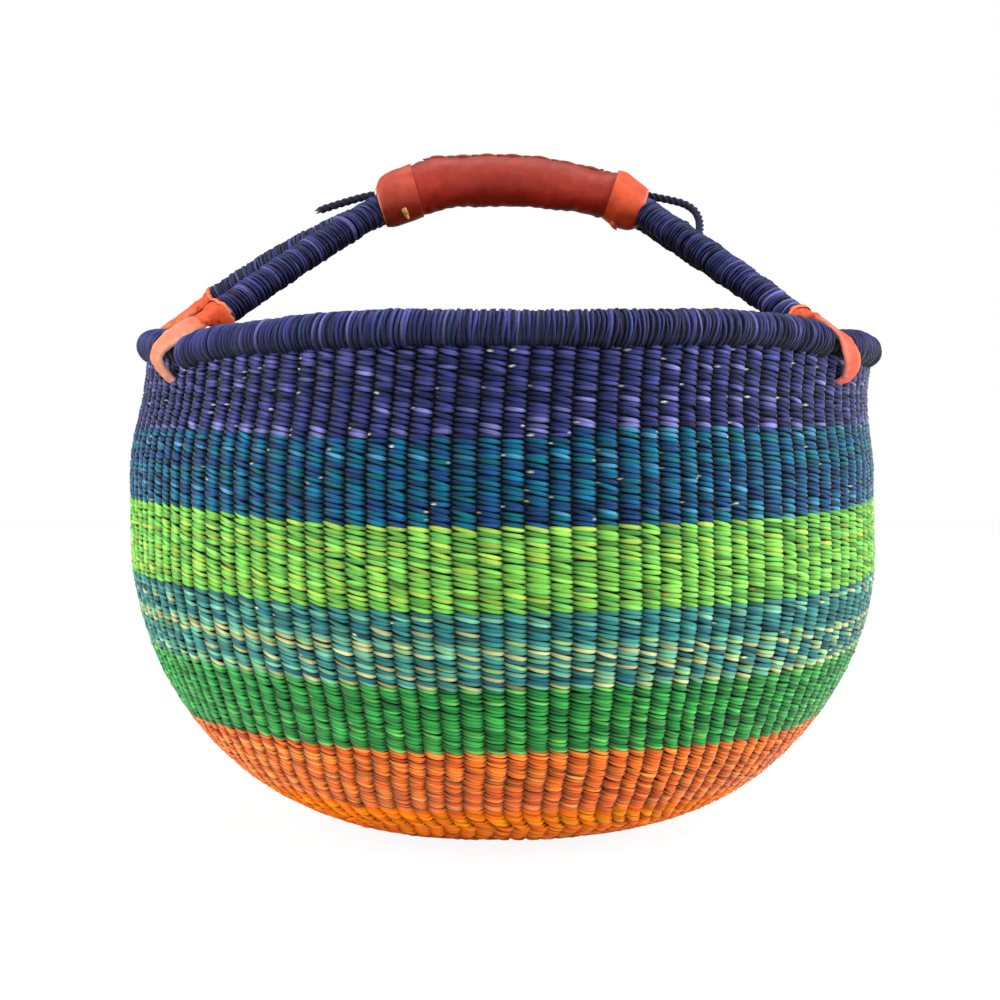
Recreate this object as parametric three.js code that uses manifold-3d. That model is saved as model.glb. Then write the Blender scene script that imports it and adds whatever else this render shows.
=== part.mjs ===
// A bolga basket: a bowl of twined straw bands on upright stakes, a wrapped rim, and a
// handle of two wrapped hoops that meet in one leather grip. Four leather straps hold the
// hoops to the rim. Millimetres, +Z up. The base rests on z = 0 with the bowl's axis on Z,
// and the front of the basket faces -Y.

import * as THREE from 'three';
import Module from 'manifold-3d';

const wasm = await Module();
wasm.setup();

// Clearances
const gap = 0.3;
const overrun = 5;

// Bowl
const baseRadius = 78;
const bellyRadius = 214.7;
const bellyHeight = 157;
const bowlFullness = 1.9;
const shoulderHeight = 200;
const neckRadius = 209;
const neckHeight = 250;
const wall = 6.6;

// Stakes
const stakeCount = 24;
const stakeWidth = 8;
const stakeThickness = 2.6;
const hubRadius = 42;
const stakePhase = 7.5;

// Rim
const rimHeight = 274;
const rimRollRadius = 10;
const rimWrapThickness = 2.2;

// Bands from the base up, each with the share of the wall's height that it reaches
const bandTopShares = {
  goldenOrange: 0.1125,
  rust: 0.2475,
  green: 0.379,
  tealCream: 0.529,
  lime: 0.686,
  blueTeal: 0.84,
  indigo: 1,
};

// Hoops
const hoopCoreRadius = 6.2;
const hoopWrapThickness = 2.2;
const socketDepth = 7;

// Grip
const gripY = -17;
const gripHeight = 367.8;
const gripHalfLength = 73.5;
const gripDrop = 16.5;
const archPower = 2.6;
const gripHalfHeight = 14.5;
const gripHalfDepth = 18.6;
const hoopSpreadInGrip = 7.6;
const hoopSpreadAtMouth = 9;
const sleeveHalfLength = 56;
const bindingHalfLength = 64;
const leather = 1.6;
const mouthClearance = 3;

// Grip lacing
const laceRadius = 1.1;
const laceReach = 5;
const laceStitches = 8;
const laceHalfLength = 51;

// Leather sockets and straps. A strap lies on the rim between two angles above its outer side.
const socketRadius = 8;
const coneLength = 9;
const tongueLength = 5;
const tongueThickness = 2;
const strapWidth = 11;
const strapThickness = 3;
const strapSlotDrop = 21;
const slotClearance = 0.6;
const strapArc = { from: 72, to: -28 };

// Rope
const ropeRadius = 2.4;

// Where each strap passes the rim, in degrees anticlockwise from +X seen from above, how far
// the arm's foot is inside and above the middle of the rim's roll, and how much its arm bows up
const attachments = {
  frontLeft: { azimuth: 210, inset: 27, lift: 16, bow: 2.3 },
  frontRight: { azimuth: 326, inset: 24.5, lift: 13.5, bow: 2.3 },
  rearLeft: { azimuth: 169, inset: 29, lift: 29, bow: 4 },
  rearRight: { azimuth: 19, inset: 29, lift: 23.3, bow: 0 },
};

// Sizes that follow from the ones above
const rimRadius = neckRadius - wall / 2;
const rimBoreRadius = rimRollRadius - rimWrapThickness;
const rimBoreFacets = 9;
const rimCoreRadius = rimBoreRadius * Math.cos(Math.PI / rimBoreFacets) - gap;
const wallTop = rimHeight - rimCoreRadius - gap;
const hoopRadius = hoopCoreRadius + gap + hoopWrapThickness;
const slotHalfHeight = strapThickness / 2 + slotClearance;
const channelHalfWidth = stakeWidth / 2 + gap;
const channelOuterDepth = (wall - stakeThickness) / 2 - gap;
const channelInnerDepth = (wall + stakeThickness) / 2 + gap;
const up = new THREE.Vector3(0, 0, 1);

const colors = {
  goldenOrange: 0xf2900f,
  rust: 0xd96a2c,
  green: 0x2f8f3f,
  tealCream: 0x5aa596,
  lime: 0x8ac83c,
  blueTeal: 0x0f6285,
  indigo: 0x35316e,
  straw: 0xd8c08a,
  gripLeather: 0xa5372b,
  leftCollar: 0xc65a40,
  rightCollar: 0xe66032,
  socketLeather: 0xee6a38,
  strapLeather: 0xe8a184,
  rope: 0x23233c,
};

function part(name, geometry, color, roughness = 0.8) {
  const material = new THREE.MeshStandardMaterial({ color, roughness, metalness: 0 });
  const mesh = new THREE.Mesh(geometry, material);
  mesh.name = name;
  return mesh;
}

// Gathers triangles over shared vertices, so that a closed body has closed edges.
class Surface {
  constructor() {
    this.positions = [];
    this.indices = [];
    this.known = new Map();
  }

  vertex(point) {
    const key = point.toArray().map((value) => value.toFixed(4)).join();
    if (!this.known.has(key)) {
      this.known.set(key, this.positions.length / 3);
      this.positions.push(point.x, point.y, point.z);
    }
    return this.known.get(key);
  }

  triangle(a, b, c) {
    const [i, j, k] = [this.vertex(a), this.vertex(b), this.vertex(c)];
    if (i !== j && j !== k && k !== i) this.indices.push(i, j, k);
  }

  quad(a, b, c, d) {
    this.triangle(a, b, c);
    this.triangle(a, c, d);
  }

  geometry() {
    const geometry = new THREE.BufferGeometry();
    geometry.setAttribute('position', new THREE.Float32BufferAttribute(this.positions, 3));
    geometry.setIndex(this.indices);
    geometry.computeVertexNormals();
    return geometry;
  }
}

// A body on a grid that goes round the bowl (i), up its profile (j) and out through its
// wall (k). solid(i, j, k) says which cells are material, corner(i, j, k) places the grid.
function gridBody(around, along, through, solid, corner) {
  const surface = new Surface();
  const isSolid = (i, j, k) => {
    const inside = j >= 0 && j < along && k >= 0 && k < through;
    return inside && solid((i + around) % around, j, k);
  };
  for (let i = 0; i < around; i++) {
    for (let j = 0; j < along; j++) {
      for (let k = 0; k < through; k++) {
        if (!isSolid(i, j, k)) continue;
        const at = (di, dj, dk) => corner((i + di) % around, j + dj, k + dk);
        if (!isSolid(i + 1, j, k)) surface.quad(at(1, 0, 0), at(1, 1, 0), at(1, 1, 1), at(1, 0, 1));
        if (!isSolid(i - 1, j, k)) surface.quad(at(0, 0, 0), at(0, 0, 1), at(0, 1, 1), at(0, 1, 0));
        if (!isSolid(i, j + 1, k)) surface.quad(at(0, 1, 0), at(0, 1, 1), at(1, 1, 1), at(1, 1, 0));
        if (!isSolid(i, j - 1, k)) surface.quad(at(0, 0, 0), at(1, 0, 0), at(1, 0, 1), at(0, 0, 1));
        if (!isSolid(i, j, k + 1)) surface.quad(at(0, 0, 1), at(1, 0, 1), at(1, 1, 1), at(0, 1, 1));
        if (!isSolid(i, j, k - 1)) surface.quad(at(0, 0, 0), at(0, 1, 0), at(1, 1, 0), at(1, 0, 0));
      }
    }
  }
  return surface.geometry();
}

// Gives each station of a route the direction in which the route runs there.
function withDirections(stations) {
  const last = stations.length - 1;
  return stations.map((station, index) => {
    const before = stations[Math.max(index - 1, 0)].at;
    const after = stations[Math.min(index + 1, last)].at;
    return { ...station, ahead: after.clone().sub(before).normalize() };
  });
}

// A tube through stations along a route. A station has its centre and direction, the half
// width and half height of its oval outside and, where the tube is hollow, of its bore. The
// bore starts at the first station and is blind where the later stations have none.
function tube(stations, sides, squareness = 2) {
  const surface = new Surface();
  const last = stations.length - 1;
  const ring = ({ at, ahead }, size) => {
    const side = up.clone().cross(ahead).normalize();
    const top = ahead.clone().cross(side);
    return Array.from({ length: sides }, (_, step) => {
      const angle = (2 * Math.PI * step) / sides;
      const round = (value) => Math.sign(value) * Math.abs(value) ** (2 / squareness);
      const point = at.clone().addScaledVector(side, size[0] * round(Math.cos(angle)));
      return point.addScaledVector(top, size[1] * round(Math.sin(angle)));
    });
  };
  const skin = (rings, inward) => {
    for (let i = 0; i + 1 < rings.length; i++) {
      for (let j = 0; j < sides; j++) {
        const next = (j + 1) % sides;
        const [a, b, c, d] = [rings[i][j], rings[i][next], rings[i + 1][next], rings[i + 1][j]];
        if (inward) surface.quad(a, d, c, b);
        else surface.quad(a, b, c, d);
      }
    }
  };
  const cap = (points, centre, forward) => {
    for (let j = 0; j < sides; j++) {
      const next = (j + 1) % sides;
      if (forward) surface.triangle(centre, points[j], points[next]);
      else surface.triangle(centre, points[next], points[j]);
    }
  };
  const collar = (outer, inner, forward) => {
    for (let j = 0; j < sides; j++) {
      const next = (j + 1) % sides;
      const corners = [outer[j], outer[next], inner[next], inner[j]];
      surface.quad(...(forward ? corners : corners.reverse()));
    }
  };
  const outer = stations.map((station) => ring(station, station.out));
  const bored = stations.filter((station) => station.bore);
  const inner = bored.map((station) => ring(station, station.bore));
  skin(outer, false);
  if (!bored.length) cap(outer[0], stations[0].at, false);
  else collar(outer[0], inner[0], false);
  if (inner.length) skin(inner, true);
  if (bored.length === stations.length) collar(outer[last], inner[last], true);
  else cap(outer[last], stations[last].at, true);
  if (bored.length && bored.length < stations.length) {
    cap(inner[bored.length - 1], bored[bored.length - 1].at, false);
  }
  return surface.geometry();
}

// Booleans
function toManifold(geometry) {
  const vertProperties = Float32Array.from(geometry.attributes.position.array);
  const triVerts = Uint32Array.from(geometry.index.array);
  return new wasm.Manifold(new wasm.Mesh({ numProp: 3, vertProperties, triVerts }));
}

function fromManifold(solid) {
  const mesh = solid.getMesh();
  const geometry = new THREE.BufferGeometry();
  const positions = new THREE.Float32BufferAttribute(Float32Array.from(mesh.vertProperties), 3);
  geometry.setAttribute('position', positions);
  geometry.setIndex(Array.from(mesh.triVerts));
  geometry.computeVertexNormals();
  return geometry;
}

function cut(geometry, tools) {
  const start = toManifold(geometry);
  return fromManifold(tools.reduce((left, tool) => left.subtract(toManifold(tool)), start));
}

// A box with welded corners, long across x, y and z, that a cut can use.
function box(length, width, height) {
  const surface = new Surface();
  const corner = (x, y, z) => new THREE.Vector3(x * length / 2, y * width / 2, z * height / 2);
  for (const s of [-1, 1]) {
    const faces = [
      [corner(s, -1, -s), corner(s, 1, -s), corner(s, 1, s), corner(s, -1, s)],
      [corner(-s, s, -1), corner(-s, s, 1), corner(s, s, 1), corner(s, s, -1)],
      [corner(-1, -s, s), corner(1, -s, s), corner(1, s, s), corner(-1, s, s)],
    ];
    for (const face of faces) surface.quad(...face);
  }
  return surface.geometry();
}

// The bowl's outer surface: a superellipse up to the belly, upright to the shoulder, then
// drawn in to the neck.
function bowlRadius(z) {
  if (z < bellyHeight) {
    const drop = 1 - z / bellyHeight;
    const reach = (1 - drop ** bowlFullness) ** (1 / bowlFullness);
    return baseRadius + (bellyRadius - baseRadius) * reach;
  }
  const drawn = THREE.MathUtils.clamp((z - shoulderHeight) / (neckHeight - shoulderHeight), 0, 1);
  return neckRadius + (bellyRadius - neckRadius) * (1 + Math.cos(Math.PI * drawn)) / 2;
}

// A station of the wall holds an outer point and the direction out of the wall there.
function wallStation(z) {
  const radius = bowlRadius(z);
  if (z === 0) return { radius, z, outward: new THREE.Vector2(0, -1) };
  const rise = z / 100;
  const run = bowlRadius(z + rise) - bowlRadius(z - rise);
  return { radius, z, outward: new THREE.Vector2(2 * rise, -run).normalize() };
}

function floorStation(radius) {
  return { radius, z: 0, outward: new THREE.Vector2(0, -1) };
}

// Grid corners in a wall: even lines start a stake's cell and odd lines end it.
function wallCorner(stations, depths, halfWidth) {
  return (i, j, k) => {
    const { radius, z, outward } = stations[j];
    const inset = radius - outward.x * depths[k];
    const height = z - outward.y * depths[k];
    if (radius === 0) return new THREE.Vector3(0, 0, height);
    const spread = Math.asin(halfWidth / inset);
    const stake = THREE.MathUtils.degToRad(stakePhase) + (Math.PI * 2 * Math.floor(i / 2)) / stakeCount;
    const angle = stake + (i % 2 ? spread : -spread);
    return new THREE.Vector3(inset * Math.cos(angle), inset * Math.sin(angle), height);
  };
}

const channelDepths = [wall, channelInnerDepth, channelOuterDepth, 0];
const isStakeCell = (i) => i % 2 === 0;
const cellsAround = 2 * stakeCount;

// Heights of a band's rings. The lowest band starts flat on the base, so its rings crowd there.
function bandHeights(bottom, top, facets) {
  const start = bottom === 0 ? 0 : bottom + gap;
  const crowding = bottom === 0 ? 2 : 1;
  const shares = Array.from({ length: facets + 1 }, (_, step) => (step / facets) ** crowding);
  return shares.map((share) => start + (top - start) * share);
}

const bandList = [
  { name: 'golden_orange_band', share: bandTopShares.goldenOrange, facets: 3, color: colors.goldenOrange },
  { name: 'rust_band', share: bandTopShares.rust, facets: 2, color: colors.rust },
  { name: 'green_band', share: bandTopShares.green, facets: 2, color: colors.green },
  { name: 'teal_cream_band', share: bandTopShares.tealCream, facets: 1, color: colors.tealCream },
  { name: 'lime_band', share: bandTopShares.lime, facets: 1, color: colors.lime },
  { name: 'blue_teal_band', share: bandTopShares.blueTeal, facets: 1, color: colors.blueTeal },
  { name: 'indigo_band', share: bandTopShares.indigo, facets: 1, color: colors.indigo },
];
for (const [index, band] of bandList.entries()) {
  band.top = wallTop * band.share;
  band.heights = bandHeights(index ? bandList[index - 1].top : 0, band.top, band.facets);
}
// The top band has a ring just under the straps' slots, so that its wall is upright there.
const topBand = bandList.at(-1);
topBand.heights.splice(1, 0, rimHeight - strapSlotDrop - slotHalfHeight - gap);

function bandGeometry(heights) {
  const stations = heights.map(wallStation);
  const solid = (i, j, k) => k !== 1 || !isStakeCell(i);
  const corner = wallCorner(stations, channelDepths, channelHalfWidth);
  return gridBody(cellsAround, stations.length - 1, 3, solid, corner);
}

// The radial plane of an attachment: outward in plan, along the rim, and a placer that takes
// a distance outward and a height, both from the middle of the rim's roll.
function radialFrame(azimuth) {
  const angle = THREE.MathUtils.degToRad(azimuth);
  const outward = new THREE.Vector3(Math.cos(angle), Math.sin(angle), 0);
  const sideways = up.clone().cross(outward);
  const place = (out, lift) => {
    const point = outward.clone().multiplyScalar(rimRadius + out);
    point.z = rimHeight + lift;
    return point;
  };
  return { angle, outward, sideways, place };
}

function strapSlot(azimuth) {
  const frame = radialFrame(azimuth);
  const slot = box(wall + 2 * overrun, strapWidth + 2 * gap, 2 * slotHalfHeight);
  slot.rotateZ(frame.angle);
  const middle = frame.place(0, -strapSlotDrop);
  return slot.translate(middle.x, middle.y, middle.z);
}

function baseDisc() {
  const stations = [floorStation(0), floorStation(hubRadius), floorStation(baseRadius - gap)];
  const solid = (i, j, k) => {
    const hubRecess = j === 0 && k < 2;
    const channel = k === 1 && isStakeCell(i);
    return !hubRecess && !channel;
  };
  const corner = wallCorner(stations, channelDepths, channelHalfWidth);
  return gridBody(cellsAround, 2, 3, solid, corner);
}

// The stakes cross in a hub at the base's middle and run up through every band.
function stakeCage() {
  const floor = [floorStation(0), floorStation(hubRadius - gap)];
  const heights = bandList.flatMap((band, index) => band.heights.slice(index ? 1 : 0));
  const stations = [...floor, ...heights.map(wallStation)];
  const depths = [channelInnerDepth - gap, channelOuterDepth + gap];
  const solid = (i, j) => j === 0 || isStakeCell(i);
  const corner = wallCorner(stations, depths, stakeWidth / 2);
  return gridBody(cellsAround, stations.length - 1, 1, solid, corner);
}

// A ring round the bowl with the wall's facets. Its section is a closed outline, listed
// clockwise, of distances outward and heights from the middle of the rim's roll.
function rimRing(outline) {
  const surface = new Surface();
  const place = (i, [out, lift]) => {
    const station = { radius: rimRadius + out, z: rimHeight + lift, outward: new THREE.Vector2(1, 0) };
    return wallCorner([station], [0], channelHalfWidth)(i, 0, 0);
  };
  for (let i = 0; i < cellsAround; i++) {
    const next = (i + 1) % cellsAround;
    for (const [index, point] of outline.entries()) {
      const after = outline[(index + 1) % outline.length];
      surface.quad(place(i, point), place(i, after), place(next, after), place(next, point));
    }
  }
  return surface.geometry();
}

function arcPoints(radius, from, to, steps) {
  return Array.from({ length: steps + 1 }, (_, step) => {
    const angle = THREE.MathUtils.degToRad(from + ((to - from) * step) / steps);
    return [radius * Math.cos(angle), radius * Math.sin(angle)];
  });
}

function rimCore() {
  const sides = 8;
  return rimRing(arcPoints(rimCoreRadius, 360, 360 / sides, sides - 1));
}

// The over-wrap is open below, where the wall's top edge goes up into it.
function rimWrap() {
  const lip = wall / 2 + gap;
  const outerLip = THREE.MathUtils.radToDeg(Math.acos(lip / rimRollRadius));
  const innerLip = THREE.MathUtils.radToDeg(Math.acos(lip / rimBoreRadius));
  const outside = arcPoints(rimRollRadius, 180 + outerLip, -outerLip, rimBoreFacets);
  const inside = arcPoints(rimBoreRadius, -innerLip, 180 + innerLip, rimBoreFacets - 1);
  return rimRing([...outside, ...inside]);
}

// The grip's middle line arches along X.
function archHeight(x) {
  return gripHeight - gripDrop * (Math.abs(x) / gripHalfLength) ** archPower;
}

// An arm's foot: its boundary with the leather, the strap's tip and the direction between them.
function foot(attachment) {
  const frame = radialFrame(attachment.azimuth);
  const boundary = frame.place(-attachment.inset, attachment.lift);
  const rimTop = frame.place(0, rimRollRadius + gap + strapThickness / 2);
  const ahead = rimTop.sub(boundary).normalize();
  const along = (distance) => boundary.clone().addScaledVector(ahead, distance);
  return { frame, boundary, ahead, along };
}

// A hoop's stations from its left foot to its right foot.
function hoopRoute(left, right, sign) {
  const gripShares = [1, 0.88, 0.62, 0.35, 0, -0.35, -0.62, -0.88, -1];
  const gripPoint = (share) => {
    const x = -gripHalfLength * share;
    const spread = THREE.MathUtils.lerp(hoopSpreadInGrip, hoopSpreadAtMouth, share ** 2);
    return new THREE.Vector3(x, gripY + sign * spread, archHeight(x));
  };
  const grip = gripShares.map(gripPoint);
  const armMiddle = (mouth, boundary, bow) => {
    return mouth.clone().lerp(boundary, 0.5).addScaledVector(up, bow);
  };
  const leftFoot = foot(left);
  const rightFoot = foot(right);
  const points = [
    leftFoot.along(socketDepth),
    leftFoot.boundary,
    armMiddle(grip[0], leftFoot.boundary, left.bow),
    ...grip,
    armMiddle(grip.at(-1), rightFoot.boundary, right.bow),
    rightFoot.boundary,
    rightFoot.along(socketDepth),
  ];
  return withDirections(points.map((at) => ({ at })));
}

function hoopCore(route) {
  const out = [hoopCoreRadius, hoopCoreRadius];
  return tube(route.map((station) => ({ ...station, out })), 8);
}

// The wrap covers an arm from the leather at its foot to just inside the grip's mouth.
function armWrap(stations) {
  const out = [hoopRadius, hoopRadius];
  const bore = [hoopCoreRadius + gap, hoopCoreRadius + gap];
  return tube(stations.map((station) => ({ ...station, out, bore })), 8);
}

const frontRoute = hoopRoute(attachments.frontLeft, attachments.frontRight, -1);
const rearRoute = hoopRoute(attachments.rearLeft, attachments.rearRight, 1);

// A station on the grip's arch, which runs towards +X or, with side -1, towards -X.
function archStation(x, side, size) {
  const steepness = (archPower * gripDrop) / gripHalfLength;
  const slope = -Math.sign(x) * steepness * (Math.abs(x) / gripHalfLength) ** (archPower - 1);
  const ahead = new THREE.Vector3(side, 0, side * slope).normalize();
  return { at: new THREE.Vector3(x, gripY, archHeight(x)), ahead, ...size };
}

function archStations(halfLength, count, size) {
  return Array.from({ length: count }, (_, step) => {
    return archStation(THREE.MathUtils.lerp(-halfLength, halfLength, step / (count - 1)), 1, size);
  });
}

const gripSides = 16;
const gripSquareness = 2.4;

function gripBinding() {
  const out = [gripHalfDepth - leather - 2 * gap, gripHalfHeight - leather - 2 * gap];
  const body = tube(archStations(bindingHalfLength, 7, { out }), gripSides, gripSquareness);
  const clear = hoopCoreRadius + gap;
  const bores = [frontRoute, rearRoute].map((route) => {
    const stations = route.slice(2, -2).map((station) => ({ ...station, out: [clear, clear] }));
    return tube(stations, 8);
  });
  return cut(body, bores);
}

function gripSleeve() {
  const size = {
    out: [gripHalfDepth, gripHalfHeight],
    bore: [gripHalfDepth - leather, gripHalfHeight - leather],
  };
  return tube(archStations(sleeveHalfLength, 8, size), gripSides, gripSquareness);
}

// A collar goes from the sleeve's end to the mouth where both arms come out.
function gripCollar(side) {
  const mouthHalfDepth = hoopSpreadAtMouth + hoopRadius + mouthClearance;
  const mouthHalfHeight = hoopRadius + mouthClearance;
  const positionShares = [0, 0.35, 0.7, 1];
  const heightShares = [1, 0.9, 0.5, 0];
  const start = sleeveHalfLength + gap;
  const stations = positionShares.map((share, index) => {
    const x = side * THREE.MathUtils.lerp(start, gripHalfLength, share);
    const depth = THREE.MathUtils.lerp(gripHalfDepth - leather, mouthHalfDepth, share);
    const height = THREE.MathUtils.lerp(mouthHalfHeight, gripHalfHeight - leather, heightShares[index]);
    const size = { bore: [depth, height], out: [depth + leather, height + leather] };
    return { ...archStation(x, side, size), ahead: archStation(side * start, side).ahead };
  });
  return tube(stations, gripSides, gripSquareness);
}

// The lace is stitched to and fro across the sleeve's top seam.
function gripLacing() {
  const stepsPerStitch = 4;
  const steps = laceStitches * stepsPerStitch;
  const stations = Array.from({ length: steps + 1 }, (_, step) => {
    const x = THREE.MathUtils.lerp(-laceHalfLength, laceHalfLength, step / steps);
    const swing = Math.cos((2 * Math.PI * step) / stepsPerStitch);
    const fall = (Math.abs(laceReach * swing) / gripHalfDepth) ** gripSquareness;
    const crown = gripHalfHeight * (1 - fall) ** (1 / gripSquareness);
    const lift = crown + 2 * gap + laceRadius;
    return {
      at: new THREE.Vector3(x, gripY + laceReach * swing, archHeight(x) + lift),
      out: [laceRadius, laceRadius],
    };
  });
  return tube(withDirections(stations), 5);
}

// A leather socket takes a hoop's end, tapers beyond it and ends in a flat tongue. Its mouth
// lies against the arm's wrap, whose last station it is given.
function socket(attachment, wrapEnd) {
  const { along, ahead } = foot(attachment);
  const mouthAhead = wrapEnd.ahead.clone().multiplyScalar(Math.sign(wrapEnd.ahead.dot(ahead)));
  const mouth = wrapEnd.at.clone().addScaledVector(mouthAhead, gap);
  const sides = 12;
  const boreRadius = (hoopCoreRadius + gap) / Math.cos(Math.PI / sides);
  const bore = [boreRadius, boreRadius];
  const tongue = [strapWidth / 2, tongueThickness / 2];
  const stations = [
    { at: mouth, ahead: mouthAhead, out: [socketRadius, socketRadius], bore },
    { at: along(socketDepth + gap), ahead, out: [socketRadius, socketRadius - leather / 3], bore },
    { at: along(coneLength), ahead, out: [strapWidth / 2, strapWidth / 3] },
    { at: along(coneLength + gap), ahead, out: tongue },
    { at: along(coneLength + tongueLength), ahead, out: tongue },
  ];
  return tube(stations, sides);
}

// A strap leaves the top of the tongue, goes over the rim and in through the wall, and comes
// back up to the tongue's underside. Its outline lies in the attachment's radial plane.
function strap(attachment) {
  const { frame, along } = foot(attachment);
  const flat = (point) => {
    const out = point.dot(frame.outward) - rimRadius;
    return new THREE.Vector2(out, point.z - rimHeight);
  };
  const root = flat(along(coneLength + 2 * gap));
  const middle = flat(along(coneLength + tongueLength / 2));
  const tip = flat(along(coneLength + tongueLength));
  const normal = tip.clone().sub(root).normalize().rotateAround(new THREE.Vector2(), Math.PI / 2);
  const off = tongueThickness / 2 + gap + strapThickness / 2;
  const side = normal.y > 0 ? 1 : -1;
  const above = (point) => point.clone().addScaledVector(normal, side * off);
  const below = (point) => point.clone().addScaledVector(normal, -side * off);
  const reach = rimRollRadius + gap + strapThickness / 2;
  const arc = arcPoints(reach, strapArc.from, strapArc.to, 4);
  const round = arc.map(([out, lift]) => new THREE.Vector2(out, lift));
  const half = wall / 2;
  const route = [
    above(root),
    above(tip),
    ...round,
    new THREE.Vector2(half + strapThickness, -strapSlotDrop + strapThickness / 2),
    new THREE.Vector2(half, -strapSlotDrop),
    new THREE.Vector2(-half, -strapSlotDrop),
    new THREE.Vector2(-half - strapThickness, -strapSlotDrop + strapThickness / 2),
    new THREE.Vector2(-reach, -rimRollRadius),
    new THREE.Vector2(-reach - strapThickness / 2, 0),
    below(middle),
  ];
  const curve = new THREE.SplineCurve(route);
  const samples = 24;
  const edge = (sign) => Array.from({ length: samples + 1 }, (_, step) => {
    const at = curve.getPoint(step / samples);
    const ahead = curve.getTangent(step / samples);
    return at.add(new THREE.Vector2(-ahead.y, ahead.x).multiplyScalar((sign * strapThickness) / 2));
  });
  const outline = new THREE.Shape([...edge(1), ...edge(-1).reverse()]);
  const geometry = new THREE.ExtrudeGeometry(outline, { depth: strapWidth, bevelEnabled: false });
  geometry.translate(rimRadius, rimHeight, -strapWidth / 2);
  geometry.rotateX(Math.PI / 2);
  return geometry.rotateZ(frame.angle);
}

// Rope ends: twisted straw that comes out of the grip's mouths. Each route is a list of
// points chosen by hand.
const leftRopePoints = [
  [-77.6, -17.0, 359.9],
  [-86.2, -17.4, 357.9],
  [-95.0, -18.0, 355.3],
  [-103.6, -19.0, 352.5],
  [-111.8, -20.0, 349.7],
];
const rightRopePoints = [
  [77.6, -17.0, 359.8],
  [86.0, -17.6, 358.0],
  [94.0, -19.3, 356.2],
  [101.0, -21.8, 353.9],
  [106.0, -25.4, 350.2],
  [108.3, -30.0, 345.4],
  [108.6, -34.6, 340.8],
  [108.1, -38.8, 337.0],
  [107.2, -42.5, 333.8],
];

function rope(points, steps) {
  const extrudePath = new THREE.CatmullRomCurve3(points.map((point) => new THREE.Vector3(...point)));
  const corners = arcPoints(ropeRadius, 0, 315, 7).map((corner) => new THREE.Vector2(...corner));
  const section = new THREE.Shape(corners);
  return new THREE.ExtrudeGeometry(section, { steps, bevelEnabled: false, extrudePath });
}

// The basket, grouped as the bowl and the handle.
const bowl = new THREE.Group();
bowl.add(part('base_disc', baseDisc(), colors.goldenOrange));
bowl.add(part('stake_cage', stakeCage(), colors.straw));
for (const band of bandList) {
  const geometry = bandGeometry(band.heights);
  const slots = Object.values(attachments).map(({ azimuth }) => strapSlot(azimuth));
  bowl.add(part(band.name, band === topBand ? cut(geometry, slots) : geometry, band.color));
}
bowl.add(part('rim_core', rimCore(), colors.straw));
bowl.add(part('rim_wrap', rimWrap(), colors.indigo));

const handle = new THREE.Group();
handle.add(part('front_hoop_core', hoopCore(frontRoute), colors.straw));
handle.add(part('rear_hoop_core', hoopCore(rearRoute), colors.straw));
handle.add(part('front_left_arm_wrap', armWrap(frontRoute.slice(1, 5)), colors.indigo));
handle.add(part('front_right_arm_wrap', armWrap(frontRoute.slice(-5, -1)), colors.indigo));
handle.add(part('rear_left_arm_wrap', armWrap(rearRoute.slice(1, 5)), colors.indigo));
handle.add(part('rear_right_arm_wrap', armWrap(rearRoute.slice(-5, -1)), colors.indigo));
handle.add(part('grip_binding', gripBinding(), colors.straw));
handle.add(part('grip_sleeve', gripSleeve(), colors.gripLeather, 0.55));
handle.add(part('grip_collar_left', gripCollar(-1), colors.leftCollar, 0.6));
handle.add(part('grip_collar_right', gripCollar(1), colors.rightCollar, 0.55));
handle.add(part('grip_lacing', gripLacing(), colors.gripLeather, 0.6));
const sockets = {
  front_left_socket: socket(attachments.frontLeft, frontRoute[1]),
  front_right_socket: socket(attachments.frontRight, frontRoute[frontRoute.length - 2]),
  rear_left_socket: socket(attachments.rearLeft, rearRoute[1]),
  rear_right_socket: socket(attachments.rearRight, rearRoute[rearRoute.length - 2]),
};
for (const [name, geometry] of Object.entries(sockets)) {
  handle.add(part(name, geometry, colors.socketLeather, 0.6));
}
handle.add(part('rope_end_left', rope(leftRopePoints, 8), colors.rope));
handle.add(part('rope_loop_right', rope(rightRopePoints, 14), colors.rope));

const straps = new THREE.Group();
straps.add(part('front_left_strap', strap(attachments.frontLeft), colors.strapLeather, 0.6));
straps.add(part('front_right_strap', strap(attachments.frontRight), colors.strapLeather, 0.6));
straps.add(part('rear_left_strap', strap(attachments.rearLeft), colors.strapLeather, 0.6));
straps.add(part('rear_right_strap', strap(attachments.rearRight), colors.strapLeather, 0.6));

const basket = new THREE.Group();
basket.add(bowl, handle, straps);

export default basket;
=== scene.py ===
import math

import bpy
import numpy as np
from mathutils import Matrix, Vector


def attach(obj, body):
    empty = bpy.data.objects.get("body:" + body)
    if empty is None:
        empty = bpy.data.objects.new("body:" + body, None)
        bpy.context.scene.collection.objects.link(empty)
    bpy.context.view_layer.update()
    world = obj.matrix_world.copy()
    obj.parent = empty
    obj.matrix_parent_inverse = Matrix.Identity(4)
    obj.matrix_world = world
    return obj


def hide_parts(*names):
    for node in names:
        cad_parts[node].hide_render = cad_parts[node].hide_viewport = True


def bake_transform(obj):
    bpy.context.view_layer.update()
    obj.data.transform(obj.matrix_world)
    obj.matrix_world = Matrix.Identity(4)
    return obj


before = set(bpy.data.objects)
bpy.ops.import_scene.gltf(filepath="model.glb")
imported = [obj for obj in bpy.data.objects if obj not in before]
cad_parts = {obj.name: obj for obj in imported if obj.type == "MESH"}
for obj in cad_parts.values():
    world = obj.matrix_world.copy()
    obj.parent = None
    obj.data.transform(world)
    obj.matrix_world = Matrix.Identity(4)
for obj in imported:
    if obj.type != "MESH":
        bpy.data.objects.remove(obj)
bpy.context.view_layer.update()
SEED = 7
rng = np.random.default_rng(SEED)

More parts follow.
